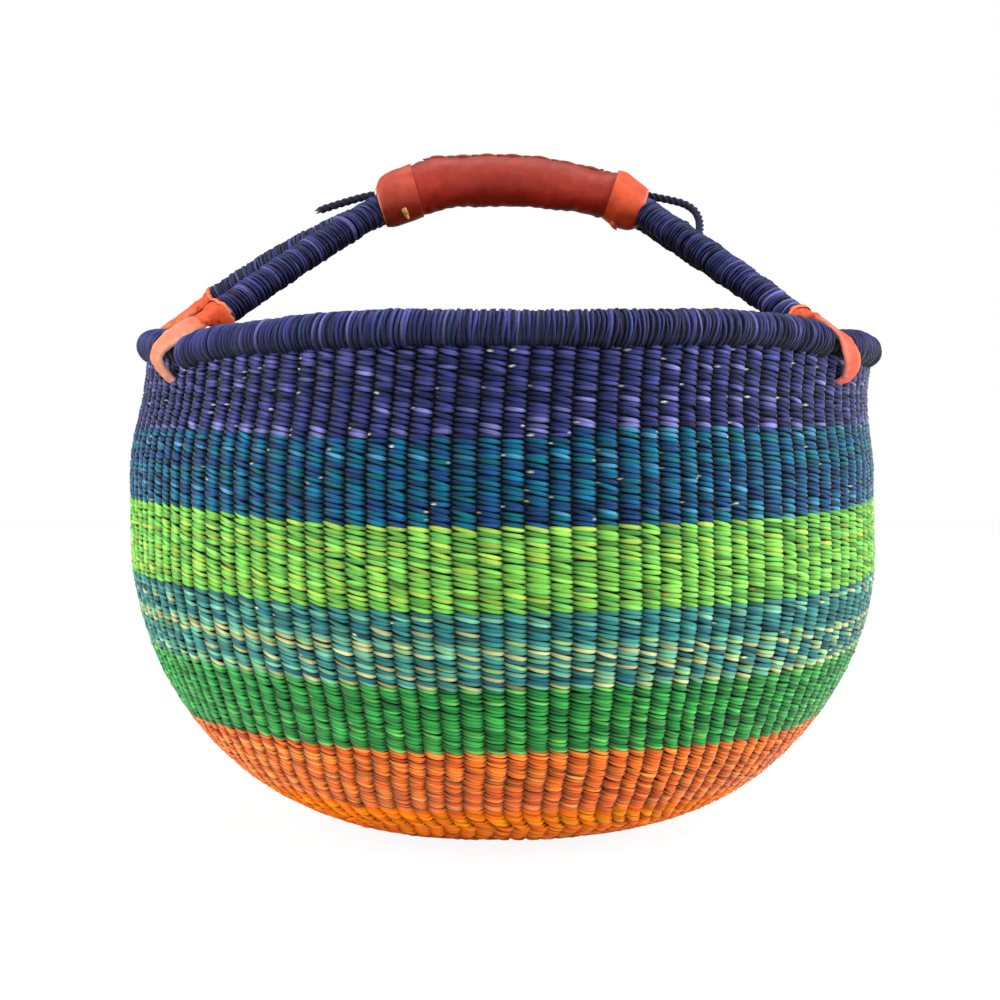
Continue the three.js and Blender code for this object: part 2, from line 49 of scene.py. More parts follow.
# Camera, in pixels of the photograph and metres
PIXELS = 1000
FOCAL_PIXELS = 2063
HORIZON_ROW = 400
MIDDLE_COLUMN = 509
CAMERA_DISTANCE = 1.211
CAMERA_HEIGHT = 0.241
SENSOR = 36

# Bowl, in metres
BASE_RADIUS = 0.061
BELLY_RADIUS = 0.2147
BELLY_HEIGHT = 0.158
BOWL_FULLNESS = 1.9
SHOULDER_HEIGHT = 0.200
NECK_RADIUS = 0.209
NECK_HEIGHT = 0.250
WALL = 0.0066
WALL_TOP = 0.2666
RIM_HEIGHT = 0.274
RIM_ROLL = 0.010
RIM_RADIUS = NECK_RADIUS - WALL / 2

# Weave
ROW_PITCH = 0.0024
PAIRS = 60

# Grip and arms
ARM_SHARES = [0.12, 0.3, 0.5, 0.7, 0.88, 1]
GRIP_Y = -0.017
GRIP_HEIGHT = 0.3678
GRIP_HALF_LENGTH = 0.0735
GRIP_DROP = 0.0165
ARCH_POWER = 2.6
ARM_RADIUS = 0.0087
ARM_SPREAD = 0.009
ARM_SPREAD_IN_GRIP = 0.0076

# Arms' feet: azimuth in degrees anticlockwise from +X, inset from the rim's middle, lift above it
# and how much the arm bows up
ATTACHMENTS = {
    "front_left": (210, 0.0240, 0.0134, 0.0014),
    "front_right": (326, 0.0200, 0.0098, 0.0015),
    "rear_left": (169, 0.0265, 0.0272, 0.004),
    "rear_right": (19, 0.029, 0.0233, 0),
}
# How far along the rim each strap squeezes it, and by how much
PINCHES = {
    "front_left": (0.0125, 0.0050),
    "front_right": (0.0115, 0.0050),
    "rear_left": (0.0090, 0.0030),
    "rear_right": (0.0090, 0.0030),
}
# Rise of the rim's roll over its plain height in millimetres, by azimuth in degrees
RIM_RISE = [
    (0, -4.6), (12, -2.7), (30, -1), (150, -1), (170, -2.5), (195, -2.5), (204, -4), (210, -7.5), (214, -8.5),
    (220, -4.5), (228, -2.2), (235, -1), (243, 1.2), (250, 1.7), (256, 2.2), (270, 1.9), (285, 1.8),
    (295, 2.8), (302, 3.2), (310, 2.6), (318, 0.5), (323, -2.5), (327, -5), (331, -5), (337, -4.2),
    (345, -5.6), (354, -5.4), (360, -4.6),
]

# Ropes, as given routes
ROPE_DIAMETER = 0.0048
LEFT_ROPE = [
    (-0.0776, -0.0170, 0.3599),
    (-0.0862, -0.0174, 0.3579),
    (-0.0950, -0.0180, 0.3553),
    (-0.1036, -0.0190, 0.3525),
    (-0.1118, -0.0200, 0.3497),
]
RIGHT_ROPE = [
    (0.0776, -0.0170, 0.3598),
    (0.0860, -0.0176, 0.3580),
    (0.0940, -0.0193, 0.3562),
    (0.1010, -0.0218, 0.3539),
    (0.1060, -0.0254, 0.3502),
    (0.1083, -0.0300, 0.3454),
    (0.1086, -0.0346, 0.3408),
    (0.1081, -0.0388, 0.3370),
    (0.1072, -0.0425, 0.3338),
]


# Colours
def linear(rgb):
    """sRGB 0 to 255 as linear 0 to 1."""
    share = np.asarray(rgb, float) / 255
    return np.where(share <= 0.04045, share / 12.92, ((share + 0.055) / 1.055) ** 2.4)


# Dyes of each band: colours and how often each comes up
INDIGO = [
    ((41, 47, 102), 5), ((52, 57, 116), 4), ((28, 36, 84), 4), ((76, 74, 136), 2), ((106, 108, 168), 1),
]
BLUE = [((6, 80, 116), 5), ((2, 96, 126), 4), ((12, 64, 112), 3), ((0, 96, 108), 2), ((60, 128, 162), 1)]
LIME = [
    ((120, 194, 76), 5), ((134, 206, 86), 4), ((104, 182, 82), 3), ((162, 202, 78), 2), ((90, 170, 76), 1),
]
MIX = [
    ((56, 134, 126), 6), ((104, 172, 142), 3), ((184, 190, 132), 2), ((142, 190, 124), 2),
    ((38, 108, 116), 3),
]
GREEN = [((44, 151, 65), 5), ((64, 170, 73), 4), ((30, 130, 56), 3), ((98, 184, 84), 1)]
RUST = [((246, 118, 34), 5), ((252, 136, 50), 4), ((224, 94, 28), 3), ((254, 158, 70), 1)]
GOLD = [((255, 132, 0), 5), ((255, 148, 0), 4), ((250, 114, 0), 3), ((255, 168, 10), 1)]
# Look of each band's straw: brightness of the painted shade in the gaps between its rows and at its
# stitches' ends, sheen, gloss and how much the painted highlight on a stitch's crest stands out
BAND_LOOKS = {
    "indigo_weave": (0.10, 0.0, 1.0, 0.16, 1.5),
    "blue_teal_weave": (0.13, 0.0, 0.90, 0.16, 1.4),
    "lime_weave": (0.52, 0.24, 0.25, 0.16, 0.85),
    "teal_cream_weave": (0.46, 0.14, 0.50, 0.16, 0.9),
    "green_weave": (0.34, 0.10, 0.40, 0.20, 1.0),
    "rust_weave": (0.36, 0.12, 0.45, 0.14, 0.9),
    "golden_orange_weave": (0.76, 0.46, 0.05, 0.04, 0.8),
    "base_weave": (0.76, 0.46, 0.05, 0.04, 0.8),
}
# Sheen and gloss of the straw that is wound round the rim and the arms
WRAP_LOOK = (0.06, 0.22)
# Scraps of undyed or other straw that show between stitches, and how often, by the bands' slots
FLECKS = {
    "indigo_straw": ((224, 224, 216), 0.085),
    "blue_teal_straw": ((210, 220, 196), 0.060),
    "lime_straw": ((214, 150, 60), 0.030),
    "teal_cream_straw": ((236, 232, 190), 0.030),
    "green_straw": ((176, 190, 90), 0.015),
    "rust_straw": ((150, 60, 70), 0.020),
    "golden_orange_straw": ((255, 196, 96), 0.012),
}


# Share of the map that a closed loop goes round, and where it starts
LOOP_SHARE = 0.96
LOOP_START = 0.02


# Meshes
def mesh_object(name, vertices, faces, colours=None, uvs=None, material=None, smooth=True):
    """A mesh of quads, with its colours and its places on the map given per vertex."""
    mesh = bpy.data.meshes.new(name)
    faces = np.asarray(faces, np.int32)
    count, corners = faces.shape
    mesh.vertices.add(len(vertices))
    mesh.vertices.foreach_set("co", np.asarray(vertices, np.float32).ravel())
    mesh.loops.add(count * corners)
    mesh.loops.foreach_set("vertex_index", faces.ravel())
    mesh.polygons.add(count)
    mesh.polygons.foreach_set("loop_start", np.arange(0, count * corners, corners, dtype=np.int32))
    mesh.polygons.foreach_set("loop_total", np.full(count, corners, np.int32))
    mesh.polygons.foreach_set("use_smooth", np.full(count, smooth, bool))
    if colours is not None:
        # The colour layer holds each vertex's dyes and, on many pieces, painted light and shade
        layer = mesh.color_attributes.new("dye_and_painted_light", "FLOAT_COLOR", "POINT")
        rgba = np.ones((len(vertices), 4), np.float32)
        rgba[:, :3] = colours
        layer.data.foreach_set("color", rgba.ravel())
    if uvs is not None:
        layer = mesh.uv_layers.new(name="OFBake")
        places = np.asarray(uvs, np.float32)[faces]
        # A loop's last face runs on past its seam, not back across the map
        for axis in range(2):
            values = places[..., axis]
            over_seam = (np.ptp(values, axis=1) > 0.5)[:, None] & (values < 0.5)
            places[..., axis] = values + LOOP_SHARE * over_seam
        layer.data.foreach_set("uv", places.ravel())
    mesh.update(calc_edges=True)
    mesh.validate()
    made = bpy.data.objects.new(name, mesh)
    bpy.context.scene.collection.objects.link(made)
    if material:
        mesh.materials.append(material)
    return made


def add_piece(name, vertices, faces, colours, uvs, material, body, replaced=None):
    """A piece, which rides on a body and stands in for a solid where these are given."""
    if colours is not None:
        colours = np.reshape(colours, (-1, 3))
    piece = mesh_object(name, np.reshape(vertices, (-1, 3)), faces, colours, uvs, material)
    if body:
        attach(piece, body)
    if replaced:
        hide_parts(replaced)
    return piece


def grid_faces(count, rows, columns, closed_rows=False):
    """Quads of `count` separate grids, each of rows by columns vertices, numbered row by row."""
    row_steps = rows if closed_rows else rows - 1
    i, j = np.meshgrid(np.arange(row_steps), np.arange(columns - 1), indexing="ij")
    near, far = i * columns + j, (i + 1) % rows * columns + j
    quad = np.stack([near, far, far + 1, near + 1], -1).reshape(-1, 4)
    return (quad[None] + np.arange(count)[:, None, None] * rows * columns).reshape(-1, 4)


def ring_quads(stations, sides, closed=False):
    """Quads between rings that turn anticlockwise about the way they follow each other."""
    i, j = np.meshgrid(np.arange(stations if closed else stations - 1), np.arange(sides), indexing="ij")
    near, far, after = i * sides, (i + 1) % stations * sides, (j + 1) % sides
    return np.stack([near + j, near + after, far + after, far + j], -1).reshape(-1, 4)


def ring_faces(stations, sides):
    """The same with both ends capped."""
    k = np.arange(sides // 2 - 1)
    cap = np.stack([k, k + 1, sides - 2 - k, sides - 1 - k], -1)
    return np.vstack([ring_quads(stations, sides), cap[:, ::-1], cap + (stations - 1) * sides])


def full_turn(steps):
    return np.linspace(0, 2 * np.pi, steps, endpoint=False)


def circles(loop, side, top):
    """A ring of directions for each pair of a side and a top vector."""
    return np.cos(loop)[None, :, None] * side[:, None] + np.sin(loop)[None, :, None] * top[:, None]


def unit(vectors):
    return vectors / np.linalg.norm(vectors, axis=-1, keepdims=True)


def travelled(points):
    """Length of a route from its start to each of its points."""
    return np.concatenate([[0], np.cumsum(np.linalg.norm(np.diff(points, axis=0), axis=1))])


def smooth_step(share):
    return share * share * (3 - 2 * share)


# Rim's rise, smoothed round the whole rim, by half degrees
RISE_STEPS = 720
RISE_REACH = 12
RISE_SPREAD = 4.0


def smoothed_rise():
    angles = np.arange(RISE_STEPS) * 360 / RISE_STEPS
    heights = np.interp(angles, [azimuth for azimuth, _ in RIM_RISE], [rise for _, rise in RIM_RISE])
    weights = np.exp(-((np.arange(-RISE_REACH, RISE_REACH + 1) / RISE_SPREAD) ** 2))
    around = np.concatenate([heights[-RISE_REACH:], heights, heights[:RISE_REACH]])
    heights = np.convolve(around, weights / weights.sum(), mode="valid")
    return np.append(heights, heights[0]) / 1000


RISE_TABLE = smoothed_rise()


def rim_rise(angle):
    places = np.arange(RISE_STEPS + 1) * 360 / RISE_STEPS
    return np.interp(np.mod(np.degrees(angle), 360), places, RISE_TABLE)


# Bowl's profile, as a table over the length along it from the middle of the base
def bowl_radius(z):
    z = np.asarray(z, float)
    drop = np.clip(1 - z / BELLY_HEIGHT, 0, 1)
    lower = BASE_RADIUS + (BELLY_RADIUS - BASE_RADIUS) * (1 - drop**BOWL_FULLNESS) ** (1 / BOWL_FULLNESS)
    drawn = np.clip((z - SHOULDER_HEIGHT) / (NECK_HEIGHT - SHOULDER_HEIGHT), 0, 1)
    upper = NECK_RADIUS + (BELLY_RADIUS - NECK_RADIUS) * (1 + np.cos(np.pi * drawn)) / 2
    return np.where(z < BELLY_HEIGHT, lower, upper)


FLOOR_STEPS = 80
WALL_STEPS = 1500


def profile_table():
    heights = WALL_TOP * np.linspace(0, 1, WALL_STEPS) ** 2
    floor_radii = np.linspace(0, BASE_RADIUS, FLOOR_STEPS)[:-1]
    radii = np.concatenate([floor_radii, bowl_radius(heights)])
    heights = np.concatenate([np.zeros(len(floor_radii)), heights])
    lengths = np.concatenate([[0], np.cumsum(np.hypot(np.diff(radii), np.diff(heights)))])
    return lengths, radii, heights


LENGTHS, RADII, HEIGHTS = profile_table()
BASE_LENGTH = BASE_RADIUS


def length_at(z):
    return np.interp(z, HEIGHTS[FLOOR_STEPS:], LENGTHS[FLOOR_STEPS:])


def on_profile(length):
    """Radius, height and the outward direction's two parts at a length along the profile."""
    step = 0.0015

    def at(place):
        return np.interp(place, LENGTHS, RADII), np.interp(place, LENGTHS, HEIGHTS)

    (far_radius, far_height), (near_radius, near_height) = at(length + step), at(length - step)
    run, rise = far_radius - near_radius, far_height - near_height
    size = np.hypot(run, rise) + 1e-12
    return *at(length), rise / size, -run / size


# Sideways shift of the hand-woven body against the rim, and how much further forward its foot
# stands, in millimetres by height in metres
LEAN_HEIGHTS = [0, 0.03, 0.10, 0.13, 0.16, 0.19, 0.222, 0.245, WALL_TOP]
LEANS = [-2.2, -2.0, -2.1, -2.4, -3.3, -3.8, -3.7, -1.9, 0]
FORWARD_HEIGHTS = [0, 0.03, 0.07, 0.13]
FORWARDS = [-9.0, -8.0, -4.5, 0]
# Where the wall starts to follow the rim up, and the share of a fall that it follows
FOLLOW_HEIGHT = 0.225
FALL_SHARE = 0.4


def waviness(angle, length):
    """Small unevenness of a hand-woven wall."""
    wave = np.sin(2 * angle + 0.7) * 0.6 + np.sin(3 * angle + 9 * length + 2.0) * 0.5
    wave = wave + np.sin(7 * angle - 21 * length) * 0.3 + np.sin(11 * angle + 34 * length + 1.0) * 0.2
    return 0.0007 * wave


def place_on_wall(angle, length, outward):
    """Points at an azimuth and a length along the profile, `outward` metres off the surface."""
    radius, height, out, upward = on_profile(length)
    fade = np.clip((WALL_TOP - height) / 0.03, 0, 1) * np.clip(length / 0.12, 0, 1)
    off = outward + waviness(angle, length) * fade
    reach = radius + out * off
    x = reach * np.cos(angle) + np.interp(height, LEAN_HEIGHTS, LEANS) / 1000
    y = reach * np.sin(angle) + np.interp(height, FORWARD_HEIGHTS, FORWARDS) / 1000
    rise = rim_rise(angle)
    rise = np.where(rise > 0, rise, rise * FALL_SHARE)
    rise = rise * np.clip((height - FOLLOW_HEIGHT) / (WALL_TOP - FOLLOW_HEIGHT), 0, 1)
    return np.stack([x, y, height + upward * off + rise], -1)


# Upright ribs. Each of 60 at the base gets a second one beside it on the way up, which starts
# narrow, and all ribs at one height are about as wide. At the front and back they start low down,
# and at the sides higher up.
FIRST_START_RADIUS = 0.069
LAST_START_RADIUS = 0.198
START_SCATTER = 0.22
RIB_RAMP = 0.028
NARROWEST_RIB = 0.12
RIB_SCATTER = 0.09
RIB_WEIGHTS = 1 + RIB_SCATTER * rng.standard_normal((PAIRS, 2))
WIDEST = int(np.argmax(RADII))
SIDEWAYS = np.abs(np.cos(2 * np.pi * (np.arange(PAIRS) + 0.5) / PAIRS)) + START_SCATTER * rng.random(PAIRS)
START_SHARES = np.argsort(np.argsort(SIDEWAYS)) / PAIRS
START_RADII = FIRST_START_RADIUS + (LAST_START_RADIUS - FIRST_START_RADIUS) * START_SHARES
START_LENGTHS = np.interp(START_RADII, RADII[:WIDEST], LENGTHS[:WIDEST]) - RIB_RAMP / 2


def ribs_at(length):
    """Edges of the ribs round the bowl at a length along the profile, as start and end azimuths."""
    grown = np.clip((length - START_LENGTHS) / RIB_RAMP, 0, 1)
    weights = np.stack([RIB_WEIGHTS[:, 0], RIB_WEIGHTS[:, 1] * grown], 1)
    weights = np.where(weights < NARROWEST_RIB, 0, weights).ravel()
    # The ribs' drift is the same to either side
    edges = np.concatenate([[0], np.cumsum(weights)]) * 2 * np.pi / weights.sum()
    full = np.concatenate([[0], np.cumsum(RIB_WEIGHTS.ravel())]) * 2 * np.pi / RIB_WEIGHTS.sum()
    edges = edges - (edges[::2] - full[::2]).mean()
    kept = weights > 0
    return edges[:-1][kept], edges[1:][kept]


# Each band from the base up: heights of its lower edge at the sides and at the middle of the front
# and back, since the edges dip there, its dyes, and how many stitches a straw of one shade runs
BANDS = {
    "golden_orange": (0.0, 0.0, GOLD, 8),
    "rust": (0.0290, 0.0291, RUST, 8),
    "green": (0.0656, 0.0652, GREEN, 8),
    "teal_cream": (0.1050, 0.0994, MIX, 9),
    "lime": (0.1450, 0.1380, LIME, 8),
    "blue_teal": (0.1860, 0.1800, BLUE, 8),
    "indigo": (0.2248, 0.2232, INDIGO, 8),
}


def edge_length(name, angle):
    """A band's lower edge, as a length along the profile. After the last band comes the top."""
    if name == "top":
        return length_at(WALL_TOP + 0 * angle)
    side, middle, _, _ = BANDS[name]
    height = side + (middle - side) * np.sin(angle) ** 2
    if name != "golden_orange":
        height = height + 0.0012 * np.sin(angle * 2 + 0.6) + 0.0008 * np.sin(angle * 5 + 1.7)
    return length_at(np.clip(height, 0, WALL_TOP))


def dye_table(dyes):
    """A dye's colours and the share of each."""
    odds = np.array([weight for _, weight in dyes], float)
    return linear([colour for colour, _ in dyes]), odds / odds.sum()


def dye_runs(count, dyes, run):
    """A shade for each stitch: straws of random length and shade, two strands taking turns."""
    colours, odds = dye_table(dyes)
    shades = np.zeros((count, 3))
    for strand in range(2):
        own = len(range(strand, count, 2))
        change = rng.random(own) < 1 / run
        change[0] = True
        picks = rng.choice(len(dyes), size=own, p=odds)
        index = np.maximum.accumulate(np.where(change, np.arange(own), 0))
        shades[strand::2] = colours[picks[index]]
    return shades


# A stitch is a strand that comes up on one side of a rib, passes over it and dives again.
# By place along it: depth under the rib's crest in millimetres, thickness, and brightness, which is painted
# shade at its ends and a painted highlight towards its crest
ALONG = np.array([-1.16, -0.86, -0.5, -0.1, 0.3, 0.64, 0.9, 1.14])
DEPTHS = np.array([-2.9, -1.75, -0.75, -0.25, -0.05, -0.1, -0.7, -2.2])
THICKNESS = np.array([0.50, 0.76, 0.96, 1.08, 1.12, 1.05, 0.88, 0.58])
ALONG_PAINTED_LIGHT = np.array([0.14, 0.32, 0.66, 0.98, 1.22, 1.26, 0.84, 0.26])
ACROSS = np.radians([-86, -34, 28, 84])
INNER_ALONG = np.array([-1.1, -0.5, 0.3, 1.1])
INNER_ACROSS = np.radians([-84, 0, 84])
SLANT = 0.42
# Half a stitch's height as a share of its row's, how far its back is rounded, how far it stands
# proud of the wall, and the width below which a rib stands less proud
STITCH_HALF = 0.47
STITCH_ROUNDING = 0.0009
STITCH_LIFT = 0.0004
PROUD_WIDTH = 0.0055
# Depth of the backing under either face, and its brightness, painted dark as the shade in the gaps
BACKING_DEPTH = 0.0027
BACKING_PAINTED_SHADE = 0.10


def stitches(rows, side, along, across):
    """Points of all stitches of some rows, as (row, array) pairs.

    rows is a list of (starts, ends, length function)."""
    pieces = []
    depths = np.interp(along, ALONG, DEPTHS)[:, None] / 1000
    thickness = np.interp(along, ALONG, THICKNESS)[:, None]
    along = along[:, None]
    for row, (starts, ends, length_of) in enumerate(rows):
        middle, half = (starts + ends)[:, None, None] / 2, (ends - starts)[:, None, None] / 2
        each = (len(starts), 1, 1)
        swell = 1 + 0.09 * rng.standard_normal(each)
        shift = 0.09 * rng.standard_normal(each)
        slant = SLANT * (1 + 0.3 * rng.standard_normal(each))
        raise_by = 0.00016 * rng.standard_normal(each)
        angle = middle + half * along + 0 * across
        low, high = length_of(angle)
        pitch = high - low
        spread = STITCH_HALF * thickness * swell * np.sin(across)
        length = (low + high) / 2 + pitch * (shift - slant * along * side + spread)
        # Narrow ribs stand less proud
        width = half * np.interp(length, LENGTHS, RADII)
        lift = depths * np.clip(width / PROUD_WIDTH, 0.35, 1)
        lift = lift + STITCH_ROUNDING * (np.cos(across) - 1) + STITCH_LIFT + raise_by
        outward = lift if side > 0 else -WALL - lift
        pieces.append((row, place_on_wall(angle, length, outward)))
    return pieces


def weave(name, rows, dyes, run, slot, replaced):
    """One band's outside and inside stitches, over a backing painted dark as shade, as one piece."""
    vertices, colours, uvs, faces = [], [], [], []
    columns = 2 * PAIRS
    total_rows = 2 * len(rows) + 4
    painted_gap_shade, ends, sheen, gloss, crest = BAND_LOOKS[name]
    fleck_shade, fleck_share = FLECKS[slot]

    def add(side, points, shades, u, v, quads):
        faces.append((quads if side > 0 else quads[:, ::-1]) + sum(map(len, vertices)))
        vertices.append(points.reshape(-1, 3))
        colours.append(np.broadcast_to(shades, points.shape).reshape(-1, 3))
        uvs.append(np.stack(np.broadcast_arrays(u, v), -1).reshape(-1, 2))

    for side, along, across in ((1, ALONG, ACROSS), (-1, INNER_ALONG, INNER_ACROSS)):
        count = sum(len(row[0]) for row in rows)
        shades = dye_runs(count, dyes, run)
        shades = shades * np.clip(1 + 0.22 * rng.standard_normal((count, 1)), 0.4, 1.9)
        # Painted shade darkens the gaps between rows and each stitch's ends, and a painted highlight
        # brightens its crest
        painted_light_along = ends + (1 - ends) * np.interp(along, ALONG, ALONG_PAINTED_LIGHT) ** crest
        tones = painted_light_along[:, None] * np.interp(across, ACROSS, [painted_gap_shade, 0.92, 1.08, painted_gap_shade * 1.3])
        lengths, widths = len(along), len(across)
        first = 0
        for row, points in stitches(rows, side, along, across):
            n = len(points)
            own = band_override(name, row, rows[row][0], rows[row][1], shades[first : first + n])
            own = own[:, None, None] * tones[..., None]
            first += n
            # A fleck lies at one end of a stitch or near its crest
            chosen = np.flatnonzero(rng.random(n) < fleck_share)
            spot = rng.choice([1, 1, 2, lengths - 2], size=len(chosen)).clip(1, lengths - 2)
            lane = rng.integers(1, widths - 1, size=len(chosen))
            own[chosen, spot, lane] = linear(fleck_shade) * rng.uniform(0.4, 1.3, (len(chosen), 1))
            line = row if side > 0 else row + len(rows) + 1
            u = (np.arange(n)[:, None, None] + 0.05 + 0.9 * np.linspace(0, 1, lengths)[:, None]) / columns
            v = (line + 0.08 + 0.84 * np.linspace(0, 1, widths)) / total_rows
            add(side, points, own, u, v, grid_faces(n, lengths, widths))
    # Backing between the two faces, painted dark as the shade in the gaps between stitches, which closes
    # those gaps
    around = 4 * PAIRS
    angle = full_turn(around)
    levels = np.linspace(0, 1, max(3, len(rows) // 4))
    low, _ = rows[0][2](angle)
    _, high = rows[-1][2](angle)
    length = low[:, None] + (high - low)[:, None] * levels
    shade = BACKING_PAINTED_SHADE * dye_table(dyes)[0].mean(0)
    backs = ((1, -BACKING_DEPTH, total_rows - 2), (-1, BACKING_DEPTH - WALL, total_rows - 1))
    for side, outward, line in backs:
        points = place_on_wall(angle[:, None], length, outward)
        u, v = np.linspace(0.02, 0.94, around)[:, None], (line + 0.1 + 0.8 * levels) / total_rows
        add(side, points, shade, u, v, grid_faces(1, around, len(levels), closed_rows=True))
    material = straw_material(name + "_straw", columns, total_rows, sheen, gloss)
    add_piece(
        name, np.concatenate(vertices), np.concatenate(faces), np.concatenate(colours), np.concatenate(uvs),
        material, "basket", replaced,
    )


# Lowest rows of the indigo band that are blue on the right half, and that half in degrees from the front
BLUE_ROWS = 2
BLUE_SECTOR = (9, 172)


def band_override(name, row, starts, ends, shades):
    """The blue of the band below runs two rows higher on the right half of the front."""
    if name != "indigo_weave" or row >= BLUE_ROWS:
        return shades
    turned = np.mod(np.degrees((starts + ends) / 2) + 90, 360)
    right = (turned > BLUE_SECTOR[0]) & (turned < BLUE_SECTOR[1])
    blue, _ = dye_table(BLUE)
    picks = blue[rng.integers(0, len(blue), len(starts))]
    return np.where(right[:, None], picks, shades)


def band_rows(name, next_name):
    """The rows of a band: ribs' edges and each row's lower and upper edge as functions of azimuth."""
    sample = np.linspace(0, 2 * np.pi, 24)
    low, high = edge_length(name, sample).mean(), edge_length(next_name, sample).mean()
    count = max(1, round((high - low) / ROW_PITCH))
    rows = []
    for row in range(count):
        starts, ends = ribs_at(low + (high - low) * (row + 0.5) / count)

        def length_of(angle, row=row):
            bottom, top = edge_length(name, angle), edge_length(next_name, angle)
            return bottom + (top - bottom) * row / count, bottom + (top - bottom) * (row + 1) / count

        rows.append((starts, ends, length_of))
    return rows


# Middle of the base that stays open, and the radii where its ribs grow in number
HUB = 0.006
HALF_RIBS_RADIUS = 0.022
ALL_RIBS_RADIUS = 0.046


def base_rows():
    """Rows of the flat base, whose ribs grow in number from the middle outwards."""
    rows = []
    count = round((BASE_LENGTH - HUB) / ROW_PITCH)
    edges_at = np.linspace(HUB, BASE_LENGTH, count + 1)
    for low, high in zip(edges_at, edges_at[1:]):
        starts, _ = ribs_at(low)
        edges = starts[:: 1 if low > ALL_RIBS_RADIUS else 2 if low > HALF_RIBS_RADIUS else 4]
        edges = np.append(edges, edges[0] + 2 * np.pi)

        def length_of(angle, low=low, high=high):
            return low + 0 * angle, high + 0 * angle

        rows.append((edges[:-1], edges[1:], length_of))
    return rows


# Materials
def new_material(name):
    material = bpy.data.materials.new(name)
    material.use_nodes = True
    tree = material.node_tree
    tree.nodes.clear()
    output = tree.nodes.new("ShaderNodeOutputMaterial")
    shader = tree.nodes.new("ShaderNodeBsdfPrincipled")
    tree.links.new(shader.outputs["BSDF"], output.inputs["Surface"])
    return material, tree, shader


def node(tree, kind, **values):
    made = tree.nodes.new(kind)
    for key, value in values.items():
        if key in made.inputs:
            made.inputs[key].default_value = value
        else:
            setattr(made, key, value)
    return made


def joined(tree, pairs):
    for start, end in pairs:
        tree.links.new(start, end)


def noise(tree, place, scale, detail, roughness=0.5):
    made = node(tree, "ShaderNodeTexNoise", Scale=scale, Detail=detail, Roughness=roughness)
    tree.links.new(place, made.inputs["Vector"])
    return made.outputs["Fac"]


def ranged(tree, value, low, high, start=0.0, end=1.0):
    """A value that runs from start to end, as one from low to high."""
    made = node(tree, "ShaderNodeMapRange")
    for key, number in (("From Min", start), ("From Max", end), ("To Min", low), ("To Max", high)):
        made.inputs[key].default_value = number
    tree.links.new(value, made.inputs["Value"])
    return made.outputs["Result"]


def stretched(tree, place, scale):
    made = node(tree, "ShaderNodeMapping")
    made.inputs["Scale"].default_value = scale
    tree.links.new(place, made.inputs["Vector"])
    return made.outputs["Vector"]


def dyed_and_painted(tree, shader, tone):
    """Each vertex's own colour, its dyes and on many pieces painted light and shade, made lighter and darker
    by a tone.
    """
    dye_and_painted_light = node(tree, "ShaderNodeVertexColor", layer_name="dye_and_painted_light")
    shade = node(tree, "ShaderNodeVectorMath", operation="SCALE")
    joined(tree, (
        (dye_and_painted_light.outputs["Color"], shade.inputs[0]),
        (tone, shade.inputs["Scale"]),
        (shade.outputs["Vector"], shader.inputs["Base Color"]),
    ))


def bumped(tree, shader, height, strength, distance, under=None):
    bump = node(tree, "ShaderNodeBump", Strength=strength, Distance=distance)
    tree.links.new(height, bump.inputs["Height"])
    if under is not None:
        tree.links.new(under, bump.inputs["Normal"])
    tree.links.new(bump.outputs["Normal"], shader.inputs["Normal"])
    return bump.outputs["Normal"]


def straw_material(name, columns, rows, sheen, gloss):
    """Dyed straw: each stitch's own shade, with fine fibres along it."""
    material, tree, shader = new_material(name)
    place = node(tree, "ShaderNodeUVMap", uv_map="OFBake").outputs["UV"]
    fibres = noise(tree, stretched(tree, place, (columns * 1.6, rows * 5.0, 1)), 1.0, 3.0, 0.6)
    dyed_and_painted(tree, shader, ranged(tree, fibres, 0.62, 1.34, 0.25, 0.75))
    tree.links.new(ranged(tree, fibres, 0.32, 0.56), shader.inputs["Roughness"])
    bumped(tree, shader, fibres, 0.35, 0.0004)
    shader.inputs["Specular IOR Level"].default_value = gloss
    shader.inputs["Sheen Weight"].default_value = sheen
    shader.inputs["Sheen Roughness"].default_value = 0.25
    return material


MOTTLE_SCALE = 46.0
PORE_SCALE = 1100.0


def leather_material(name):
    """Goat leather: each piece's own colours, its dyes with painted shade on some pieces, mottled, with fine
    pores and soft creases.
    """
    material, tree, shader = new_material(name)
    place = node(tree, "ShaderNodeTexCoord").outputs["Object"]
    patches = noise(tree, place, MOTTLE_SCALE, 4.0, 0.6)
    creases = noise(tree, place, MOTTLE_SCALE * 5, 5.0, 0.62)
    pores = node(tree, "ShaderNodeTexVoronoi", Scale=PORE_SCALE)
    tone = node(tree, "ShaderNodeMath", operation="MULTIPLY")
    joined(tree, (
        (place, pores.inputs["Vector"]),
        (ranged(tree, patches, 0.80, 1.18, 0.3, 0.7), tone.inputs[0]),
        (ranged(tree, creases, 0.88, 1.10, 0.3, 0.7), tone.inputs[1]),
        (ranged(tree, creases, 0.40, 0.68), shader.inputs["Roughness"]),
    ))
    dyed_and_painted(tree, shader, tone.outputs["Value"])
    pored = bumped(tree, shader, pores.outputs["Distance"], 0.16, 0.0003)
    bumped(tree, shader, creases, 0.28, 0.0007, pored)
    shader.inputs["Specular IOR Level"].default_value = 0.3
    return material


def bare_straw_material():
    """Undyed straw for the solids inside, with fibres along their length."""
    material, tree, shader = new_material("bare_straw")
    place = node(tree, "ShaderNodeTexCoord").outputs["Object"]
    fibres = noise(tree, stretched(tree, place, (60, 900, 900)), 1.0, 3.0)
    ramp = node(tree, "ShaderNodeValToRGB")
    stops = ramp.color_ramp.elements
    stops[0].position = 0.35
    stops[0].color = (*linear((150, 124, 78)), 1)
    stops[1].position = 0.65
    stops[1].color = (*linear((222, 200, 150)), 1)
    joined(tree, ((fibres, ramp.inputs["Fac"]), (ramp.outputs["Color"], shader.inputs["Base Color"])))
    shader.inputs["Roughness"].default_value = 0.6
    bumped(tree, shader, fibres, 0.4, 0.0005)
    return material


